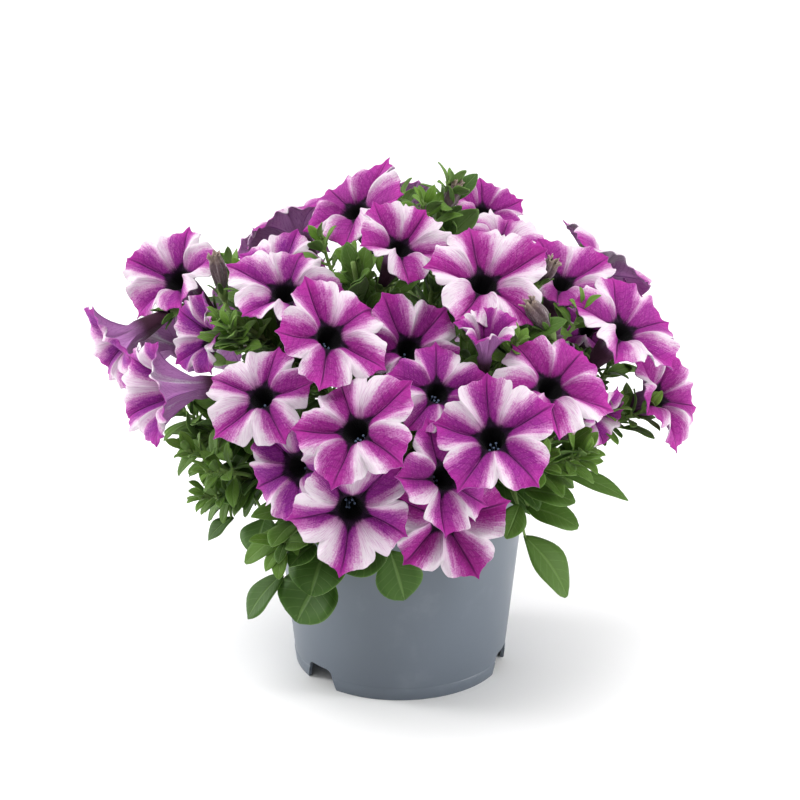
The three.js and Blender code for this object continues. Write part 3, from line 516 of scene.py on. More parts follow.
def corolla(row, index):
    """The rings of a bloom, lists of points, and what each carries: reach, side, back, turn, white."""
    spin, radius, cup = row[5:8]
    at, n, a, b = bloom_frame(row)
    columns = 5 * LOBE_COLUMNS
    half = LOBE_COLUMNS // 2
    places = []
    for c in range(columns):
        lobe = (c + half) // LOBE_COLUMNS % 5
        side = ((c + half) % LOBE_COLUMNS - half) / half
        turn = math.radians(spin + 360 * c / columns)
        white = row[8] + WHITE_SPREAD * (draw(index, (lobe - (side < 0)) % 5 + 53) - 0.5)
        places.append((lobe, side, turn, white))

    def limb_ring(s, drop, back):
        ring = []
        for lobe, side, turn, white in places:
            reach, height = limb(index, lobe, side, s, cup)
            sway = turn + SWAY * (draw(index, lobe + 67) - 0.5) * s * s * (1 - abs(side))
            point = at + spoke(a, b, sway) * reach * radius + n * (height * radius - drop)
            ring.append((point, s, abs(side), back, turn, white))
        return ring

    def tube_ring(reach, height, share, back):
        ring = []
        for lobe, side, turn, white in places:
            ridge = 1 + 0.05 * math.cos(math.pi * side) * (1 - share)
            point = at + spoke(a, b, turn) * reach * ridge + n * height
            ring.append((point, -share, abs(side), back, turn, white))
        return ring

    rings = []
    for q in THROAT_STOPS:
        reach = THROAT * radius * (0.30 + 0.62 * (1 - q) ** 1.5)
        rings.append(tube_ring(reach, -PIT * radius * 1.25 * q - 0.035 * radius, q, 0))
    rings += [limb_ring(s, 0, 0) for s in LIMB_STOPS]
    for s in reversed(LIMB_STOPS[::2] + (1.0,)):
        rings.append(limb_ring(s, PETAL_THICK + 0.12 * radius * max(0, 1 - s / 0.5) ** 2, 1))
    neck, end = THROAT * radius + 0.9, TUBE_END * radius
    top, foot = -PETAL_THICK - 0.16 * radius, -TUBE_LENGTH * radius
    for q in TUBE_STOPS:
        swell = 1 + 0.16 * math.sin(math.pi * q)
        rings.append(tube_ring((neck + (end - neck) * q ** 0.8) * swell, top + (foot - top) * q, q, 1))
    return rings


def ball(points, faces, centre, size, axis, long=1.0, sides=7):
    """A small closed bead, drawn out along its axis."""
    first = len(points)
    a = axis.orthogonal().normalized()
    b = axis.cross(a)
    levels = (-0.8, -0.35, 0.35, 0.8)
    for level in levels:
        reach = size * math.sqrt(1 - level * level)
        for k in range(sides):
            turn = 2 * math.pi * k / sides
            around = centre + a * reach * math.cos(turn) + b * reach * math.sin(turn)
            points.append(around + axis * size * level * long)
    wrap(faces, first, sides, len(levels))


def tube(points, faces, path, radii, sides=6):
    """A closed round tube along a list of points."""
    first = len(points)
    guide = None
    for k, centre in enumerate(path):
        along = (path[min(k + 1, len(path) - 1)] - path[max(k - 1, 0)]).normalized()
        guide = along.orthogonal() if guide is None else guide - along * guide.dot(along)
        guide = guide.normalized()
        b = along.cross(guide)
        for n in range(sides):
            turn = 2 * math.pi * n / sides
            points.append(centre + guide * radii[k] * math.cos(turn) + b * radii[k] * math.sin(turn))
    wrap(faces, first, sides, len(path))


def stamens(points, faces, row, index):
    """Five stamens and a stigma that stand in the throat."""
    at, n, a, b = bloom_frame(row)
    radius = row[6]
    for k in range(STAMENS + 1):
        stigma = k == STAMENS
        turn = 2 * math.pi * (k / STAMENS + draw(index, k + 60) * 0.12)
        out = spoke(a, b, turn)
        spread = 0.0 if stigma else 0.075 * radius
        head = at - n * radius * (0.27 + 0.10 * draw(index, k + 50)) + out * spread
        head -= a * 0.03 * radius
        foot = at - n * radius * 0.66 + out * spread * 0.4
        tube(points, faces, [foot, head], (FILAMENT, FILAMENT), 5)
        ball(points, faces, head, STIGMA if stigma else ANTHER, n, 0.7)


def carry(thing, name, values):
    """Lets a mesh carry one value for each point."""
    layer = thing.data.attributes.new(name, "FLOAT", "POINT")
    layer.data.foreach_set("value", np.asarray(values, np.float32))


def bloom_piece(name, row, index):
    rings = corolla(row, index)
    skin = [place for ring in rings for place in ring]
    points, faces = [place[0] for place in skin], []
    wrap(faces, 0, len(rings[0]), len(rings), inward=True)
    petal_faces, seed = len(faces), 7.3 * index
    stamens(points, faces, row, index)
    bloom = new_mesh(name, points, faces)
    rest = [0] * (len(points) - len(skin))
    for key, column in (("reach", 1), ("side", 2), ("back", 3), ("white", 5)):
        carry(bloom, key, [place[column] for place in skin] + rest)
    carry(bloom, "turn_x", [math.cos(place[4]) + seed for place in skin] + rest)
    carry(bloom, "turn_y", [math.sin(place[4]) for place in skin] + rest)
    carry(bloom, "tone", [row[9]] * len(points))
    for face in bloom.data.polygons[petal_faces:]:
        face.material_index = 1
    return bloom


def petal_finish():
    finish = Finish("petal", {
        "Roughness": 0.62, "Specular IOR Level": 0.12, "Sheen Weight": 0.02, "Sheen Roughness": 0.5,
        "Subsurface Weight": 0.10, "Subsurface Radius": (1.0, 0.35, 0.8), "Subsurface Scale": 0.0015})
    mix, rise, place = finish.mix, finish.rise, finish.place()
    reach, side, back, white, tone = (finish.carried(k) for k in ("reach", "side", "back", "white", "tone"))
    brush = finish.node("CombineXYZ", None, {
        "X": finish.carried("turn_x") * 24, "Y": finish.carried("turn_y") * 24, "Z": reach * 1.6})
    fine = finish.noise(brush, 2.6, 3.0)
    broad = finish.noise(brush, 0.35)
    cloud = finish.noise(place, 90.0)
    dots = finish.noise(place, 1400.0)
    slant = reach * 6 - side * 3.4 + broad * 1.2
    comb = finish.node("Math", {"operation": "PINGPONG"}, {0: slant, 1: 0.5})
    branch = (1 - rise(comb, 0.02, 0.14)) * rise(side, 0.02, 0.16) * (1 - rise(side, 0.5, 0.9))

    # The front: white wedges with brushed edges, magenta rays with darker branching veins.
    stroke = fine * 0.46 + broad * 0.40 + cloud * 0.56 + dots * 0.34 - 0.88
    edge = side + stroke - (1.09 - 0.52 * white - 0.30 * reach)
    rosy = mix(tone, PETAL["rosy"], PETAL["violet"])
    deep = mix(tone, PETAL["deep rosy"], PETAL["deep violet"])
    ray = mix(rise(side + fine * 0.16 + reach * 0.34, 0.08, 0.40), deep, rosy)
    ray = mix(rise(fine * 0.6 + dots * 0.4, 0.46, 0.64) * 0.42, ray, PETAL["stroke"])
    ray = mix(branch * 0.45, ray, deep)
    ray = mix(rise(reach - side * 0.5, 0.45, 1.0) * 0.45, ray, PETAL["tip"])
    pink = mix(rise(edge, -0.30, 0.08), ray, PETAL["pink"])
    cream = mix(rise(fine + 0.30 * (1 - reach), 0.52, 0.85) * 0.6, PETAL["white"], PETAL["white stroke"])
    front = mix(rise(edge, -0.06, 0.24) * rise(reach + stroke * 0.25, 0.0, 0.30), pink, cream)

    # Dark midribs and streaks run out of a near-black throat. Inside the tube it turns darker still: the
    # throat's own dark colour with painted shade in the tube.
    vein = (1 - rise(side + fine * 0.02, 0.014, 0.055)) * (1 - rise(reach, 0.65, 1.1))
    front = mix(vein * 0.80, front, PETAL["midrib"])
    streak = rise(fine, 0.50, 0.66) * (1 - rise(reach, 0.12, 0.34)) * 0.7
    front = mix(streak, front, PETAL["streak"])
    throat = reach + stroke * 0.14 + (0.4 - tone) * 0.10 - 0.17 * (1 - side) ** 3
    front = mix(1 - rise(throat, -0.01, 0.10), front, PETAL["star"])
    # Painted shade: the inside of the tube is painted darker than the throat's own near-black.
    front = mix(1 - rise(reach, -0.05, 0.03), front, PETAL["pit"])

    # The back: pale lavender with violet veins, over a maroon tube.
    rear = mix(rise(edge, -0.1, 0.3), PETAL["back"], PETAL["pale back"])
    rear = mix(rise(fine, 0.54, 0.68) * 0.5 + branch * 0.4 + vein * 0.9, rear, PETAL["back vein"])
    rear = mix(1 - rise(reach + stroke * 0.2, -0.30, 0.22), rear, PETAL["tube"])
    finish.paint("Base Color", mix(back, front, rear))
    finish.bump(fine * 0.6 + cloud * 1.2 - (1 - rise(side, 0.0, 0.06)) * 0.8, 0.0006, 0.8)
    return finish.material


def anther_finish():
    finish = Finish("anther", {"Roughness": 0.7})
    grain = finish.noise(finish.place(), 1800.0)
    finish.paint("Base Color", finish.mix(grain, ANTHER_DARK, ANTHER_LIGHT))
    finish.bump(grain, 0.0002)
    return finish.material


petal, anther = petal_finish(), anther_finish()
for index, row in enumerate(OPEN_BLOOMS):
    bloom = bloom_piece(f"corolla_{index + 1:02d}", row, index)
    bloom.data.materials.append(petal)
    bloom.data.materials.append(anther)
    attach(bloom, "root")
    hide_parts(f"bloom_{index + 1:02d}")


# ---------------------------------------------------------------- the spent blooms
# Corollas past their day, shrivelled to a dark folded funnel with a torn, papery mouth, and long
# buds. Each stands in a calyx like the open ones.
#
# A row holds the open end, the base in the calyx and the radius of the open end.
SPENT_BLOOMS = [
    (-85, -20, 212, -81, -20, 192, 3.4),
    (27, 0, 241, 19, 0, 224, 3.4),
    (69, -42, 216, 61, -40, 203, 3.6),
    (55, -68, 205, 66, -66, 189, 3.8),
    (28, -95, 161, 9, -94, 149, 3.2),
    (76, -80, 150, 65, -80, 144, 3.0),
]
SPENT_COLUMNS, SPENT_ROWS, SPENT_THICK = 40, 18, 0.5
SPENT_INSIDE = 0.62
MAROON, MAROON_PALE, PAPER = (0.032, 0.010, 0.020, 1), (0.11, 0.058, 0.066, 1), (0.30, 0.22, 0.16, 1)


def spent_reach(u):
    """How wide a spent bloom is from its base, 0, to its mouth, 1."""
    reach = 0.45 + 0.55 * smooth(u, 0.0, 0.5) - 0.30 * smooth(u, SPENT_INSIDE, 0.92)
    return reach + 0.12 * smooth(u, 0.9, 1)


def spent_piece(name, row, index):
    mouth, base, radius = Vector(row[0:3]), Vector(row[3:6]), row[6]
    n = (mouth - base).normalized()
    length = (mouth - base).length
    a = (Vector((1, 0, 0)) - n * n.x).normalized()
    b = a.cross(n)
    levels = [(k / SPENT_ROWS, 0) for k in range(SPENT_ROWS + 1)]
    inner = [1 - k / SPENT_ROWS for k in range(SPENT_ROWS + 1)]
    levels += [(u, SPENT_THICK) for u in inner if u >= SPENT_INSIDE]
    points, faces, along = [], [], []
    for u, inset in levels:
        reach = radius * spent_reach(u)
        for c in range(SPENT_COLUMNS):
            turn = 2 * math.pi * c / SPENT_COLUMNS
            folds = 0.14 * math.sin(5 * turn + 2.2 * u + index)
            folds += 0.07 * math.sin(11 * turn - 3 * u + 2 * index)
            torn = 2.6 * u ** 6 * (0.5 + 0.5 * math.sin(5 * turn + index))
            torn += 0.7 * u ** 4 * math.sin(13 * turn)
            out = (reach * (1 + folds * (0.5 + u)) - inset) * (1 + 0.25 * u ** 8 * math.sin(3 * turn))
            middle = base + n * (length * u - torn * 0.8)
            bend = 0.6 * math.sin(math.pi * u)
            points.append(middle + a * (out * math.cos(turn) + bend) + b * out * math.sin(turn))
            along.append(u)
    wrap(faces, 0, SPENT_COLUMNS, len(levels), inward=True)
    piece = new_mesh(name, points, faces)
    carry(piece, "along", along)
    return piece


def spent_finish():
    finish = Finish("spent_petal", {"Roughness": 0.75, "Sheen Weight": 0.3, "Sheen Roughness": 0.6})
    along = finish.carried("along")
    wrinkle = finish.noise(finish.place(), 700.0, 4.0)
    dry = finish.rise(along + wrinkle * 0.3, 0.85, 1.2)
    colour = finish.mix(wrinkle, MAROON, MAROON_PALE)
    finish.paint("Base Color", finish.mix(dry * 0.8, colour, PAPER))
    finish.bump(wrinkle, 0.0009)
    return finish.material


spent_petal = spent_finish()
for index, row in enumerate(SPENT_BLOOMS):
    spent = spent_piece(f"spent_corolla_{index + 1:02d}", row, index)
    spent.data.materials.append(spent_petal)
    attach(spent, "root")
    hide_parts(f"spent_bloom_{index + 1:02d}")


# ---------------------------------------------------------------- the leafy stems
# Soft hairy green stems that arch out of the soil. Each bears oval leaves with a pale midrib, leafy side
# shoots, and flower stalks that end in a calyx of five narrow sepals round the tube of a bloom.
#
# A row holds the name, the bearing and radius at which the stem leaves the soil, the point that its arch
# bends towards, its tip, the number of leaves that stand round it by rule and the turn of the first.
STEMS = [
    ("stem_front", (0, 14), (2, -46, 132), (5, -93, 145), 3, 260),
    ("stem_front_left", (-28, 20), (-26, -52, 124), (-52, -80, 94), 3, 90),
    ("stem_left_low", (-58, 22), (-48, -24, 121), (-83, -36, 98), 4, 95),
    ("stem_left", (-92, 18), (-52, -10, 137), (-94, -30, 124), 4, 208),
    ("stem_left_high", (-75, 8), (-36, -24, 152), (-69, -51, 187), 6, 284),
    ("stem_top_left", (-20, 6), (-12, -22, 156), (-21, -42, 214), 6, 26),
    ("stem_top", (150, 4), (10, 2, 162), (23, 0, 230), 6, 339),
    ("stem_right_high", (40, 9), (26, -26, 152), (56, -66, 186), 6, 350),
    ("stem_front_right", (38, 22), (30, -46, 128), (66, -68, 126), 3, 335),
    ("stem_right", (85, 18), (52, -10, 137), (97, -30, 132), 4, 2),
    ("stem_back_right", (128, 18), (38, 34, 142), (82, 66, 152), 7, 77),
    ("stem_back", (180, 16), (2, 46, 146), (4, 98, 156), 6, 177),
    ("stem_back_left", (232, 18), (-38, 36, 142), (-80, 64, 158), 7, 215),
]
# The leaves that show one by one: the base of the blade, its tip and its width.
PLACED_LEAVES = [
    (-52, -62, 73, -70, -66, 50, 14),
    (-32, -66, 76, -47, -78, 54, 31),
    (-32, -72, 90, -40, -88, 72, 26),
    (-61, -52, 97, -65, -66, 82, 19),
    (-76, -40, 91, -89, -45, 80, 11),
    (-52, -80, 94, -60, -88, 84, 6),
    (-52, -80, 93, -54, -92, 82, 7),
    (-52, -80, 94, -67, -88, 99, 7),
    (-52, -80, 94, -41, -92, 99, 9),
    (-37, -76, 93, -49, -90, 87, 12),
    (-4, -80, 95, -24, -90, 84, 18),
    (-5, -84, 95, 2, -86, 69, 20),
    (-94, -30, 124, -105, -38, 131, 6),
    (-94, -30, 124, -107, -32, 123, 5),
    (-93, -30, 122, -103, -38, 120, 5),
    (-91, -30, 124, -98, -34, 140, 8),
    (-83, -36, 98, -97, -44, 105, 6),
    (-78, -40, 94, -89, -48, 101, 6),
    (-78, -36, 107, -90, -40, 117, 10),
    (-85, -40, 124, -76, -54, 124, 7),
    (-81, -40, 108, -74, -62, 106, 12),
    (66, -64, 124, 103, -66, 109, 10),
    (68, -66, 128, 92, -58, 125, 8),
    (53, -76, 119, 78, -80, 114, 13),
    (54, -70, 109, 80, -76, 100, 15),
    (54, -66, 95, 76, -72, 64, 19),
    (54, -76, 113, 47, -88, 100, 11),
    (66, -60, 122, 79, -58, 112, 9),
    (62, -74, 130, 60, -84, 151, 7),
    (71, -70, 133, 85, -74, 147, 8),
    (69, -72, 131, 78, -84, 140, 8),
    (97, -30, 132, 95, -36, 145, 7),
    (98, -30, 133, 107, -28, 147, 10),
    (101, -32, 132, 117, -38, 128, 8),
    (84, -50, 128, 97, -40, 131, 5),
    (5, -92, 146, 0, -98, 164, 6),
    (6, -92, 146, 10, -98, 164, 6),
    (6, -92, 145, 18, -102, 141, 8),
    (3, -90, 142, -7, -95, 140, 7),
    (4, -90, 142, 8, -102, 134, 9),
]
# The side shoots that look out between the blooms: the base x, y, z, the bearing and the lift of the shoot,
# its length and the number of its leaves.
SHOOTS = [
    (12, -6, 216, -20, 75, 18, 10),
    (22, 2, 224, 10, 80, 16, 9),
    (-20, -24, 192, -10, 70, 22, 11),
    (-33, -8, 200, -40, 75, 18, 9),
    (-69, -48, 168, -35, 62, 24, 12),
    (-78, -44, 172, -30, 75, 18, 9),
    (-2, -98, 140, -10, 70, 13, 8),
    (6, -96, 144, 0, 76, 14, 8),
    (92, -14, 146, 60, 60, 20, 10),
    (80, -28, 148, 20, 65, 20, 10),
    (100, 0, 150, 80, 50, 20, 10),
    (48, -72, 172, 15, 68, 20, 11),
    (42, -58, 178, -5, 78, 16, 9),
    (58, -84, 130, 20, 40, 18, 11),
    (70, -72, 128, 50, 35, 20, 11),
    (-80, -46, 118, -65, 30, 22, 13),
    (-72, -48, 104, -60, 10, 22, 13),
    (-74, -54, 118, -50, 15, 18, 10),
    (78, -46, 180, 35, 72, 18, 9),
    (84, -40, 132, 55, 45, 22, 11),
    (98, -30, 132, 70, 30, 20, 9),
    (-88, -20, 126, -80, 35, 22, 11),
    (-5, -18, 186, 0, 75, 18, 10),
    (-66, -18, 186, -50, 75, 16, 9),
    (-45, -28, 182, -20, 70, 18, 9),
    (0, 40, 205, 180, 70, 20, 11),
    (-70, 40, 170, 250, 50, 24, 12),
    (75, 40, 172, 110, 50, 24, 12),
    (20, 96, 150, 170, 35, 24, 12),
    (-60, 100, 128, 215, 15, 24, 12),
    (60, 98, 124, 150, 12, 24, 12),
]
STEM_RADIUS, FLOWER_STALK, LEAF_STALK, SHOOT_RADIUS, STALK_SPACING = 1.7, 1.0, 0.8, 1.2, 3
STEM_SINK, STEM_RISE = 14, 6
CALYX_LENGTH, CALYX_SPREAD, SEPALS = 9, 6.2, 5
CALYX_CUP = ((-3.2, 1.0), (-2.0, 2.0), (0.0, 3.0), (2.0, 3.3), (3.4, 3.0))
LEAF_THICK, LEAF_CREASE = 0.5, 0.14
LEAF_ROWS, LEAF_COLUMNS = 12, 6
LEAF_SHARE = 0.42
SPIRAL_STEP = 137.5
THROAT_ROOM, FACE_ROOM, POT_ROOM = 8, 24, 8
GREEN = {
    "dark": (0.028, 0.074, 0.008, 1), "light": (0.118, 0.225, 0.024, 1), "mottle": (0.050, 0.115, 0.014, 1),
    "under": (0.13, 0.21, 0.075, 1), "rib": (0.17, 0.29, 0.075, 1), "edge": (0.17, 0.28, 0.08, 1),
    "stem": (0.08, 0.15, 0.028, 1), "hair": (0.20, 0.30, 0.085, 1),
}


class Arch:
    """A stem's curve: from where it leaves the soil, bent towards a point, to its tip."""

    def __init__(self, start, via, tip):
        self.start, self.via, self.tip = Vector(start), Vector(via), Vector(tip)

    def point(self, t):
        return self.start * (1 - t) ** 2 + self.via * 2 * t * (1 - t) + self.tip * t * t

    def along(self, t):
        return ((self.via - self.start) * (1 - t) + (self.tip - self.via) * t).normalized()

    def length(self):
        stops = [self.point(k / 200) for k in range(201)]
        return sum((q - p).length for p, q in zip(stops, stops[1:]))


def stem_arch(row):
    out = heading(row[1][0], 0) * row[1][1]
    return Arch((out.x, out.y, SOIL_TOP + STEM_RISE), row[2], row[3])


arches = [stem_arch(row) for row in STEMS]
taken = [[] for _ in STEMS]


def nearest(point):
    """The stem that passes nearest to a point, and where along it."""
    best = (math.inf, 0, 0)
    for stem, arch in enumerate(arches):
        t = 0.4
        while t < 1.001:
            gap = (arch.point(t) - point).length
            if gap < best[0]:
                best = (gap, stem, t)
            t += 0.02
    return best[1:]


def claim(stem, wanted):
    """Stalks leave a stem one below the other: a place that is taken is moved down the stem."""
    step = STALK_SPACING / arches[stem].length()
    t = wanted
    while any(abs(other - t) < step for other in taken[stem]):
        t -= step / 4
    taken[stem].append(t)
    return arches[stem].point(t)


def flower_stalks():
    """Every flower stalk goes to the stem that passes nearest, the furthest from its tip first."""
    seats = []
    for row in OPEN_BLOOMS:
        at, n, _, _ = bloom_frame(row)
        seats.append({"n": n, "base": at - n * (TUBE_LENGTH * row[6] + 0.6), "size": 0.8 + row[6] / 140})
    for row in SPENT_BLOOMS:
        base = Vector(row[3:6])
        n = (Vector(row[0:3]) - base).normalized()
        seats.append({"n": n, "base": base - n * 0.6, "size": 0.8})
    for seat in seats:
        seat["stem"], seat["wanted"] = nearest(seat["base"] - seat["n"] * 12)
        seat["far"] = (arches[seat["stem"]].point(1) - seat["base"]).length
    for stem in range(len(STEMS)):
        own = sorted((seat for seat in seats if seat["stem"] == stem), key=lambda seat: -seat["far"])
        for rank, seat in enumerate(own):
            seat["root"] = claim(stem, min(seat["wanted"], 0.56 + 0.4 * (rank + 1) / len(own)))
    return seats


def blocked(base, tip):
    """True where a blade would run through a bloom, hide its face or reach into the pot."""
    for u in (0.35, 0.7, 1):
        point = base.lerp(tip, u)
        for row in OPEN_BLOOMS:
            at, n, _, _ = bloom_frame(row)
            height = (point - at).dot(n)
            reach = (point - at - n * height).length
            if reach < THROAT_ROOM and -1.1 * row[6] < height < 0:
                return True
            if reach < row[6] * 1.05 and -7 < height < FACE_ROOM:
                return True
    out = math.hypot(tip.x, tip.y)
    return tip.z < 12 or tip.z < POT_HEIGHT + 4 and out < pot_radius(tip.z) + POT_ROOM


def placed_leaves():
    leaves = []
    for row in PLACED_LEAVES:
        start, tip = Vector(row[0:3]), Vector(row[3:6])
        stem, t = nearest(start)
        # Big leaves on the left, x below 0, get a dark tint and those on the right a lighter one: painted
        # shade on the left side of the plant and painted light on the right.
        painted_light_tint = 0.05 if start.x < 0 else 0.35
        leaves.append({
            "stem": stem, "root": claim(stem, t), "base": start.lerp(tip, 0.1), "tip": tip,
            "width": row[6] * 1.08, "sag": 0.08, "tint": 0.65 if row[6] < 10 else painted_light_tint})
    return leaves


def spiral_leaf(stem, t, root, length, lean, first_turn, width):
    """A leaf that leans off a stem. Where it is blocked it is turned on round the stem."""
    along = arches[stem].along(t)
    side = UP.cross(along).normalized()
    top = along.cross(side).normalized()
    for tries in range(8):
        turn = math.radians(first_turn + 47 * tries)
        reach = along * math.cos(lean) + spoke(side, top, turn) * math.sin(lean)
        base, tip = root + reach * 0.12 * length, root + reach * length
        if not blocked(base, tip):
            return {"stem": stem, "root": root, "base": base, "tip": tip, "width": width, "sag": 0.07}
    return None


def spiral_leaves(stem):
    """Leaves round a stem in a spiral, shorter and steeper towards its tip."""
    count, first_turn = STEMS[stem][4:6]
    leaves = []
    for j in range(count):
        t = 0.45 + 0.54 * j / max(1, count - 1)
        root = claim(stem, t)
        young = (t - 0.45) / 0.55
        length = (33 - 15 * young) * (0.85 + 0.3 * draw(stem, j))
        lean = math.radians(72 - 36 * young)
        leaves.append(spiral_leaf(stem, t, root, length, lean, first_turn + SPIRAL_STEP * j, length * 0.4))
    return [leaf for leaf in leaves if leaf]


def filling_leaves(stem, count, low, high, longest, shortest, seed):
    """Further leaves between the larger ones, from one height of the stem to another."""
    leaves = []
    for j in range(count):
        share = (j + 0.5) / count
        t = low + (high - low) * share
        length = (longest + (shortest - longest) * share) * (0.8 + 0.4 * draw(stem + seed, j))
        lean, turn = math.radians(68 - 40 * share), SPIRAL_STEP * j + 360 * draw(stem + seed, 90)
        leaves.append(spiral_leaf(stem, t, arches[stem].point(t), length, lean, turn, length * LEAF_SHARE))
    return [leaf for leaf in leaves if leaf]


def stalk_leaves(seat, index):
    """The pair of small leaves where a flower stalk leaves the stem."""
    leaves = []
    along = (seat["base"] - seat["root"]).normalized()
    side = along.orthogonal().normalized()
    for k in range(2):
        for tries in range(6):
            turn = math.radians(180 * k + 360 * draw(index, 70) + 61 * tries)
            out = spoke(side, along.cross(side), turn)
            reach = (along * 0.55 + out * 0.8 + UP * 0.15).normalized()
            length = 15 + 10 * draw(index, 71 + k)
            start = seat["root"].lerp(seat["base"], 0.12)
            base, tip = start + reach * 0.12 * length, start + reach * length
            if not blocked(base, tip):
                leaves.append({
                    "stem": seat["stem"], "root": start, "base": base, "tip": tip,
                    "width": length * LEAF_SHARE, "sag": 0.06})
                break
    return leaves


def side_shoot(row, seed):
    """A shoot from the nearest stem with a spiral of leaves that closes to a tuft."""
    base, axis, length, count = Vector(row[0:3]), heading(row[3], row[4]), row[5], row[6]
    stem, t = nearest(base - axis * 8)
    root = arches[stem].point(t)
    arch = Arch(root, base - axis * 0.4 * (base - root).length, base + axis * length)
    side = axis.orthogonal().normalized()
    leaves = []
    for j in range(count):
        share = (j + 0.5) / count
        lean = math.radians(74 - 50 * share)
        turn = math.radians(SPIRAL_STEP * j + 360 * draw(seed, 5))
        reach = axis * math.cos(lean) + spoke(side, axis.cross(side), turn) * math.sin(lean)
        size = (17 - 7 * share) * (0.85 + 0.35 * draw(seed, j + 11))
        start = arch.point(0.62 + 0.37 * share)
        leaves.append({
            "stem": stem, "root": start, "base": start + reach * 0.15 * size, "tip": start + reach * size,
            "width": size * 0.40, "sag": 0.09, "tint": 0.55 + 0.45 * share})
    return {"stem": stem, "arch": arch, "leaves": leaves}


class Growth:
    """The points and faces of one leafy stem, with what each point carries: along, across, stalk, tint."""

    def __init__(self):
        self.points, self.faces, self.carried = [], [], []

    def settle(self, tint):
        """Marks all points added since the last call as stalk, with the same tint."""
        missing = len(self.points) - len(self.carried)
        self.carried += [(0.0, 0.0, 1.0, tint)] * missing

    def stem(self, arch):
        start = arch.point(0)
        path = [start + UP * (climb - STEM_RISE - STEM_SINK) for climb in (0, 7, 14)]
        path += [arch.point(k / 30) for k in range(31)]
        radii = [STEM_RADIUS] * 3 + [STEM_RADIUS * (1 - 0.35 * k / 30) for k in range(31)]
        tube(self.points, self.faces, path, radii, 10)
        self.settle(0.5)

    def flower_stalk(self, seat, index):
        base, n, size, root = seat["base"], seat["n"], seat["size"], seat["root"]
        bend = min(14, (root - base).length * 0.45)
        arch = Arch(root, base - n * bend, base - n * 2.0)
        path = [arch.point(k / 12) for k in range(13)]
        tube(self.points, self.faces, path, [FLOWER_STALK * (0.8 + 0.35 * k / 12) for k in range(13)], 8)
        cup = [base + n * h for h, _ in CALYX_CUP]
        tube(self.points, self.faces, cup, [r * size for _, r in CALYX_CUP], 12)
        self.settle(draw(index, 81))
        guide = UP.cross(n).normalized()
        for k in range(SEPALS):
            out = spoke(guide, guide.cross(n), math.radians(360 / SEPALS * k))
            foot = base + n * 1.0 * size + out * 2.7 * size
            tip = base + n * CALYX_LENGTH * size + out * CALYX_SPREAD * size
            tip += n * (2.5 * draw(index, 90 + k) - 0.5) + out * 1.2 * draw(index, 95 + k)
            self.blade(foot, tip, 3.0 * size, -0.10, out, index + 0.3 * k, 0.25, narrow=0.35)

    def blade(self, base, tip, width, sag, outward, seed, tint, narrow=0.0):
        """A thin leaf of even thickness, creased along its midrib, with a gently waved edge."""
        along = tip - base
        length = along.length
        across = along.cross(outward).normalized()
        normal = across.cross(along).normalized()
        first = len(self.points)
        wave = 0.035 * width
        for face in (1, -1):
            for r in range(LEAF_ROWS + 1):
                u = r / LEAF_ROWS
                half = 0.5 * width * max(0.02, math.sin(math.pi * u ** 1.05)) ** 0.62
                half = max(half, 0.5 * width * narrow * (1 - u) ** 0.5) + 0.12 * (1 - u)
                middle = base + along * u + normal * sag * length * 4 * u * (1 - u)
                for c in range(LEAF_COLUMNS + 1):
                    v = 2 * c / LEAF_COLUMNS - 1
                    lift = LEAF_CREASE * half * (1.25 * abs(v) - 0.35 * v * v)
                    lift += wave * v * v * math.sin(9 * u + 5 * seed + 2 * v)
                    rib = 0.22 * math.exp(-(v / 0.16) ** 2) if face < 0 else 0
                    thick = LEAF_THICK * (0.5 - 0.28 * v * v) + rib
                    self.points.append(middle + across * v * half + normal * (lift + face * thick))
                    self.carried.append((u, v, 0.0, tint + (0.0 if face > 0 else 2.0)))
        row, sheet = LEAF_COLUMNS + 1, (LEAF_ROWS + 1) * (LEAF_COLUMNS + 1)

        def at(side, r, c):
            return first + side * sheet + r * row + c

        for r in range(LEAF_ROWS):
            for c in range(LEAF_COLUMNS):
                self.faces.append([at(0, r, c), at(0, r, c + 1), at(0, r + 1, c + 1), at(0, r + 1, c)])
                self.faces.append([at(1, r, c), at(1, r + 1, c), at(1, r + 1, c + 1), at(1, r, c + 1)])
            last = LEAF_COLUMNS
            self.faces.append([at(0, r, 0), at(0, r + 1, 0), at(1, r + 1, 0), at(1, r, 0)])
            self.faces.append([at(0, r, last), at(1, r, last), at(1, r + 1, last), at(0, r + 1, last)])
        for c in range(LEAF_COLUMNS):
            last = LEAF_ROWS
            self.faces.append([at(0, 0, c), at(1, 0, c), at(1, 0, c + 1), at(0, 0, c + 1)])
            self.faces.append([at(0, last, c), at(0, last, c + 1), at(1, last, c + 1), at(1, last, c)])

    def shoot(self, arch):
        path = [arch.point(k / 10) for k in range(11)]
        tube(self.points, self.faces, path, [SHOOT_RADIUS - 0.05 * k for k in range(11)], 8)
        self.settle(0.8)

    def leaf(self, leaf, seed):
        base, tip, root = leaf["base"], leaf["tip"], leaf["root"]
        outward = Vector((base.x, base.y, 0)).normalized() * 0.6 + Vector((0, 0, 0.8))
        tint = leaf.get("tint", 0.6 * draw(int(seed), 33))
        self.blade(base, tip, leaf["width"], leaf["sag"], outward, seed, tint)
        reach = (tip - base).normalized()
        tube(self.points, self.faces, [root, root.lerp(base, 0.6), base + reach * 1.2],
             (LEAF_STALK, LEAF_STALK * 0.95, LEAF_STALK * 0.75), 7)
        self.settle(tint)

    def piece(self, name):
        made = new_mesh(name, self.points, self.faces)
        for k, key in enumerate(("leaf_along", "leaf_across", "stalk", "tint")):
            carry(made, key, [values[k] for values in self.carried])
        return made


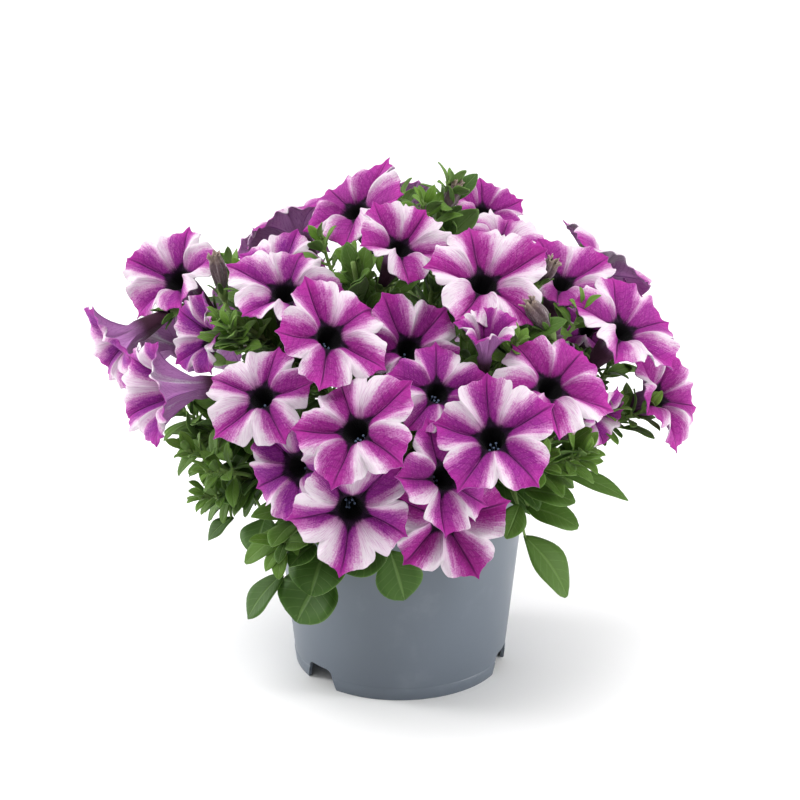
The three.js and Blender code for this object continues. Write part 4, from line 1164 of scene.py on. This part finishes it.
def green_finish():
    finish = Finish("leaf_and_stem", {
        "Roughness": 0.58, "Specular IOR Level": 0.22, "Sheen Weight": 0.04, "Sheen Roughness": 0.45,
        "Subsurface Weight": 0.08, "Subsurface Radius": (0.6, 1.0, 0.25), "Subsurface Scale": 0.0015})
    mix, rise, place = finish.mix, finish.rise, finish.place()
    kept = ("leaf_along", "leaf_across", "stalk", "tint")
    along, across, stalk, tinted = (finish.carried(key) for key in kept)
    under = rise(tinted, 1.4, 1.6)
    off = finish.node("Math", {"operation": "ABSOLUTE"}, {0: across})
    mottle = finish.noise(place, 180.0, 4.0)
    # The tint runs from dark to light green. On the larger placed leaves it also carries painted shade at
    # the left and painted light at the right.
    colour = mix(tinted - 2 * under, GREEN["dark"], GREEN["light"])
    colour = mix(mottle * 0.4, colour, GREEN["mottle"])
    colour = mix(under * 0.5, colour, GREEN["under"])
    rib = 1 - rise(off, 0.03, 0.10)
    comb = finish.node("Math", {"operation": "PINGPONG"}, {0: along * 7 - off * 1.6, 1: 0.5})
    side_vein = (1 - rise(comb, 0.02, 0.09)) * rise(off, 0.02, 0.2) * 0.14
    leaf = mix(rib * 0.34 + side_vein, colour, GREEN["rib"])
    leaf = mix(rise(off, 0.90, 1.0) * 0.3, leaf, GREEN["edge"])
    hair = finish.noise(place, 2600.0, 1.0)
    finish.paint("Base Color", mix(stalk, leaf, mix(hair, GREEN["stem"], GREEN["hair"])))
    finish.bump(mottle * 0.5 + hair * 0.15 - rib * 0.8 - side_vein * 1.2, 0.0004, 0.8)
    return finish.material


stalks = flower_stalks()
leaves = placed_leaves() + [leaf for stem in range(len(STEMS)) for leaf in spiral_leaves(stem)]
for stem in range(len(STEMS)):
    leaves += filling_leaves(stem, 24, 0.42, 0.99, 24, 12, 40)
    leaves += filling_leaves(stem, 16, 0.25, 0.90, 34, 26, 60)
leaves += [leaf for index, seat in enumerate(stalks) for leaf in stalk_leaves(seat, index)]
shoots = [side_shoot(row, 200 + index) for index, row in enumerate(SHOOTS)]
leaves += [leaf for shoot in shoots for leaf in shoot["leaves"]]
green = green_finish()
for stem, row in enumerate(STEMS):
    growth = Growth()
    growth.stem(arches[stem])
    for index, seat in enumerate(stalks):
        if seat["stem"] == stem:
            growth.flower_stalk(seat, index)
    for shoot in shoots:
        if shoot["stem"] == stem:
            growth.shoot(shoot["arch"])
    for index, leaf in enumerate(leaves):
        if leaf["stem"] == stem:
            growth.leaf(leaf, index)
    leafy = growth.piece("leafy_" + row[0])
    leafy.data.materials.append(green)
    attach(leafy, "root")
    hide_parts(row[0])


# ---------------------------------------------------------------- the studio
# A plain pale floor under even daylight, with a large soft lamp above, a key lamp in front and a strip at
# each side. A lamp's row holds its name, its place, the point it shines at, its width, height and power.
FLOOR_SIZE, FLOOR_PATCH = 9, 3.0
FLOOR_PALE, FLOOR_PALER = (0.90, 0.90, 0.90, 1), (0.93, 0.93, 0.93, 1)
DAYLIGHT = 0.60
LAMPS = [
    ("sky_panel", (0, 0.6, 2.4), (0, 0.6, 0), 3.4, 3.4, 62),
    ("key_lamp", (-0.4, -0.9, 1.6), (0, 0, 0.15), 0.7, 0.7, 12),
    ("left_strip", (-0.8, 0.15, 0.25), (0, 0, 0.08), 0.25, 0.7, 6),
    ("right_strip", (0.9, -0.25, 0.3), (0, 0, 0.08), 0.2, 0.7, 6),
]
bpy.ops.mesh.primitive_plane_add(size=FLOOR_SIZE)
floor = bpy.context.active_object
floor.name = "studio_floor"
ground = Finish("studio_floor", {"Roughness": 0.9})
ground.paint("Base Color", ground.mix(ground.noise(ground.place(), FLOOR_PATCH), FLOOR_PALE, FLOOR_PALER))
floor.data.materials.append(ground.material)

world = bpy.data.worlds.new("daylight")
world.use_nodes = True
world.node_tree.nodes["Background"].inputs["Color"].default_value = (1, 1, 1, 1)
world.node_tree.nodes["Background"].inputs["Strength"].default_value = DAYLIGHT
scene.world = world


def lamp(name, place, target, width, height, power):
    """A soft rectangular lamp turned towards a point."""
    light = bpy.data.lights.new(name, "AREA")
    light.shape, light.size, light.size_y, light.energy = "RECTANGLE", width, height, power
    holder = bpy.data.objects.new(name, light)
    holder.location = place
    holder.rotation_euler = (Vector(target) - Vector(place)).to_track_quat("-Z", "Y").to_euler()
    scene.collection.objects.link(holder)


for row in LAMPS:
    lamp(*row)
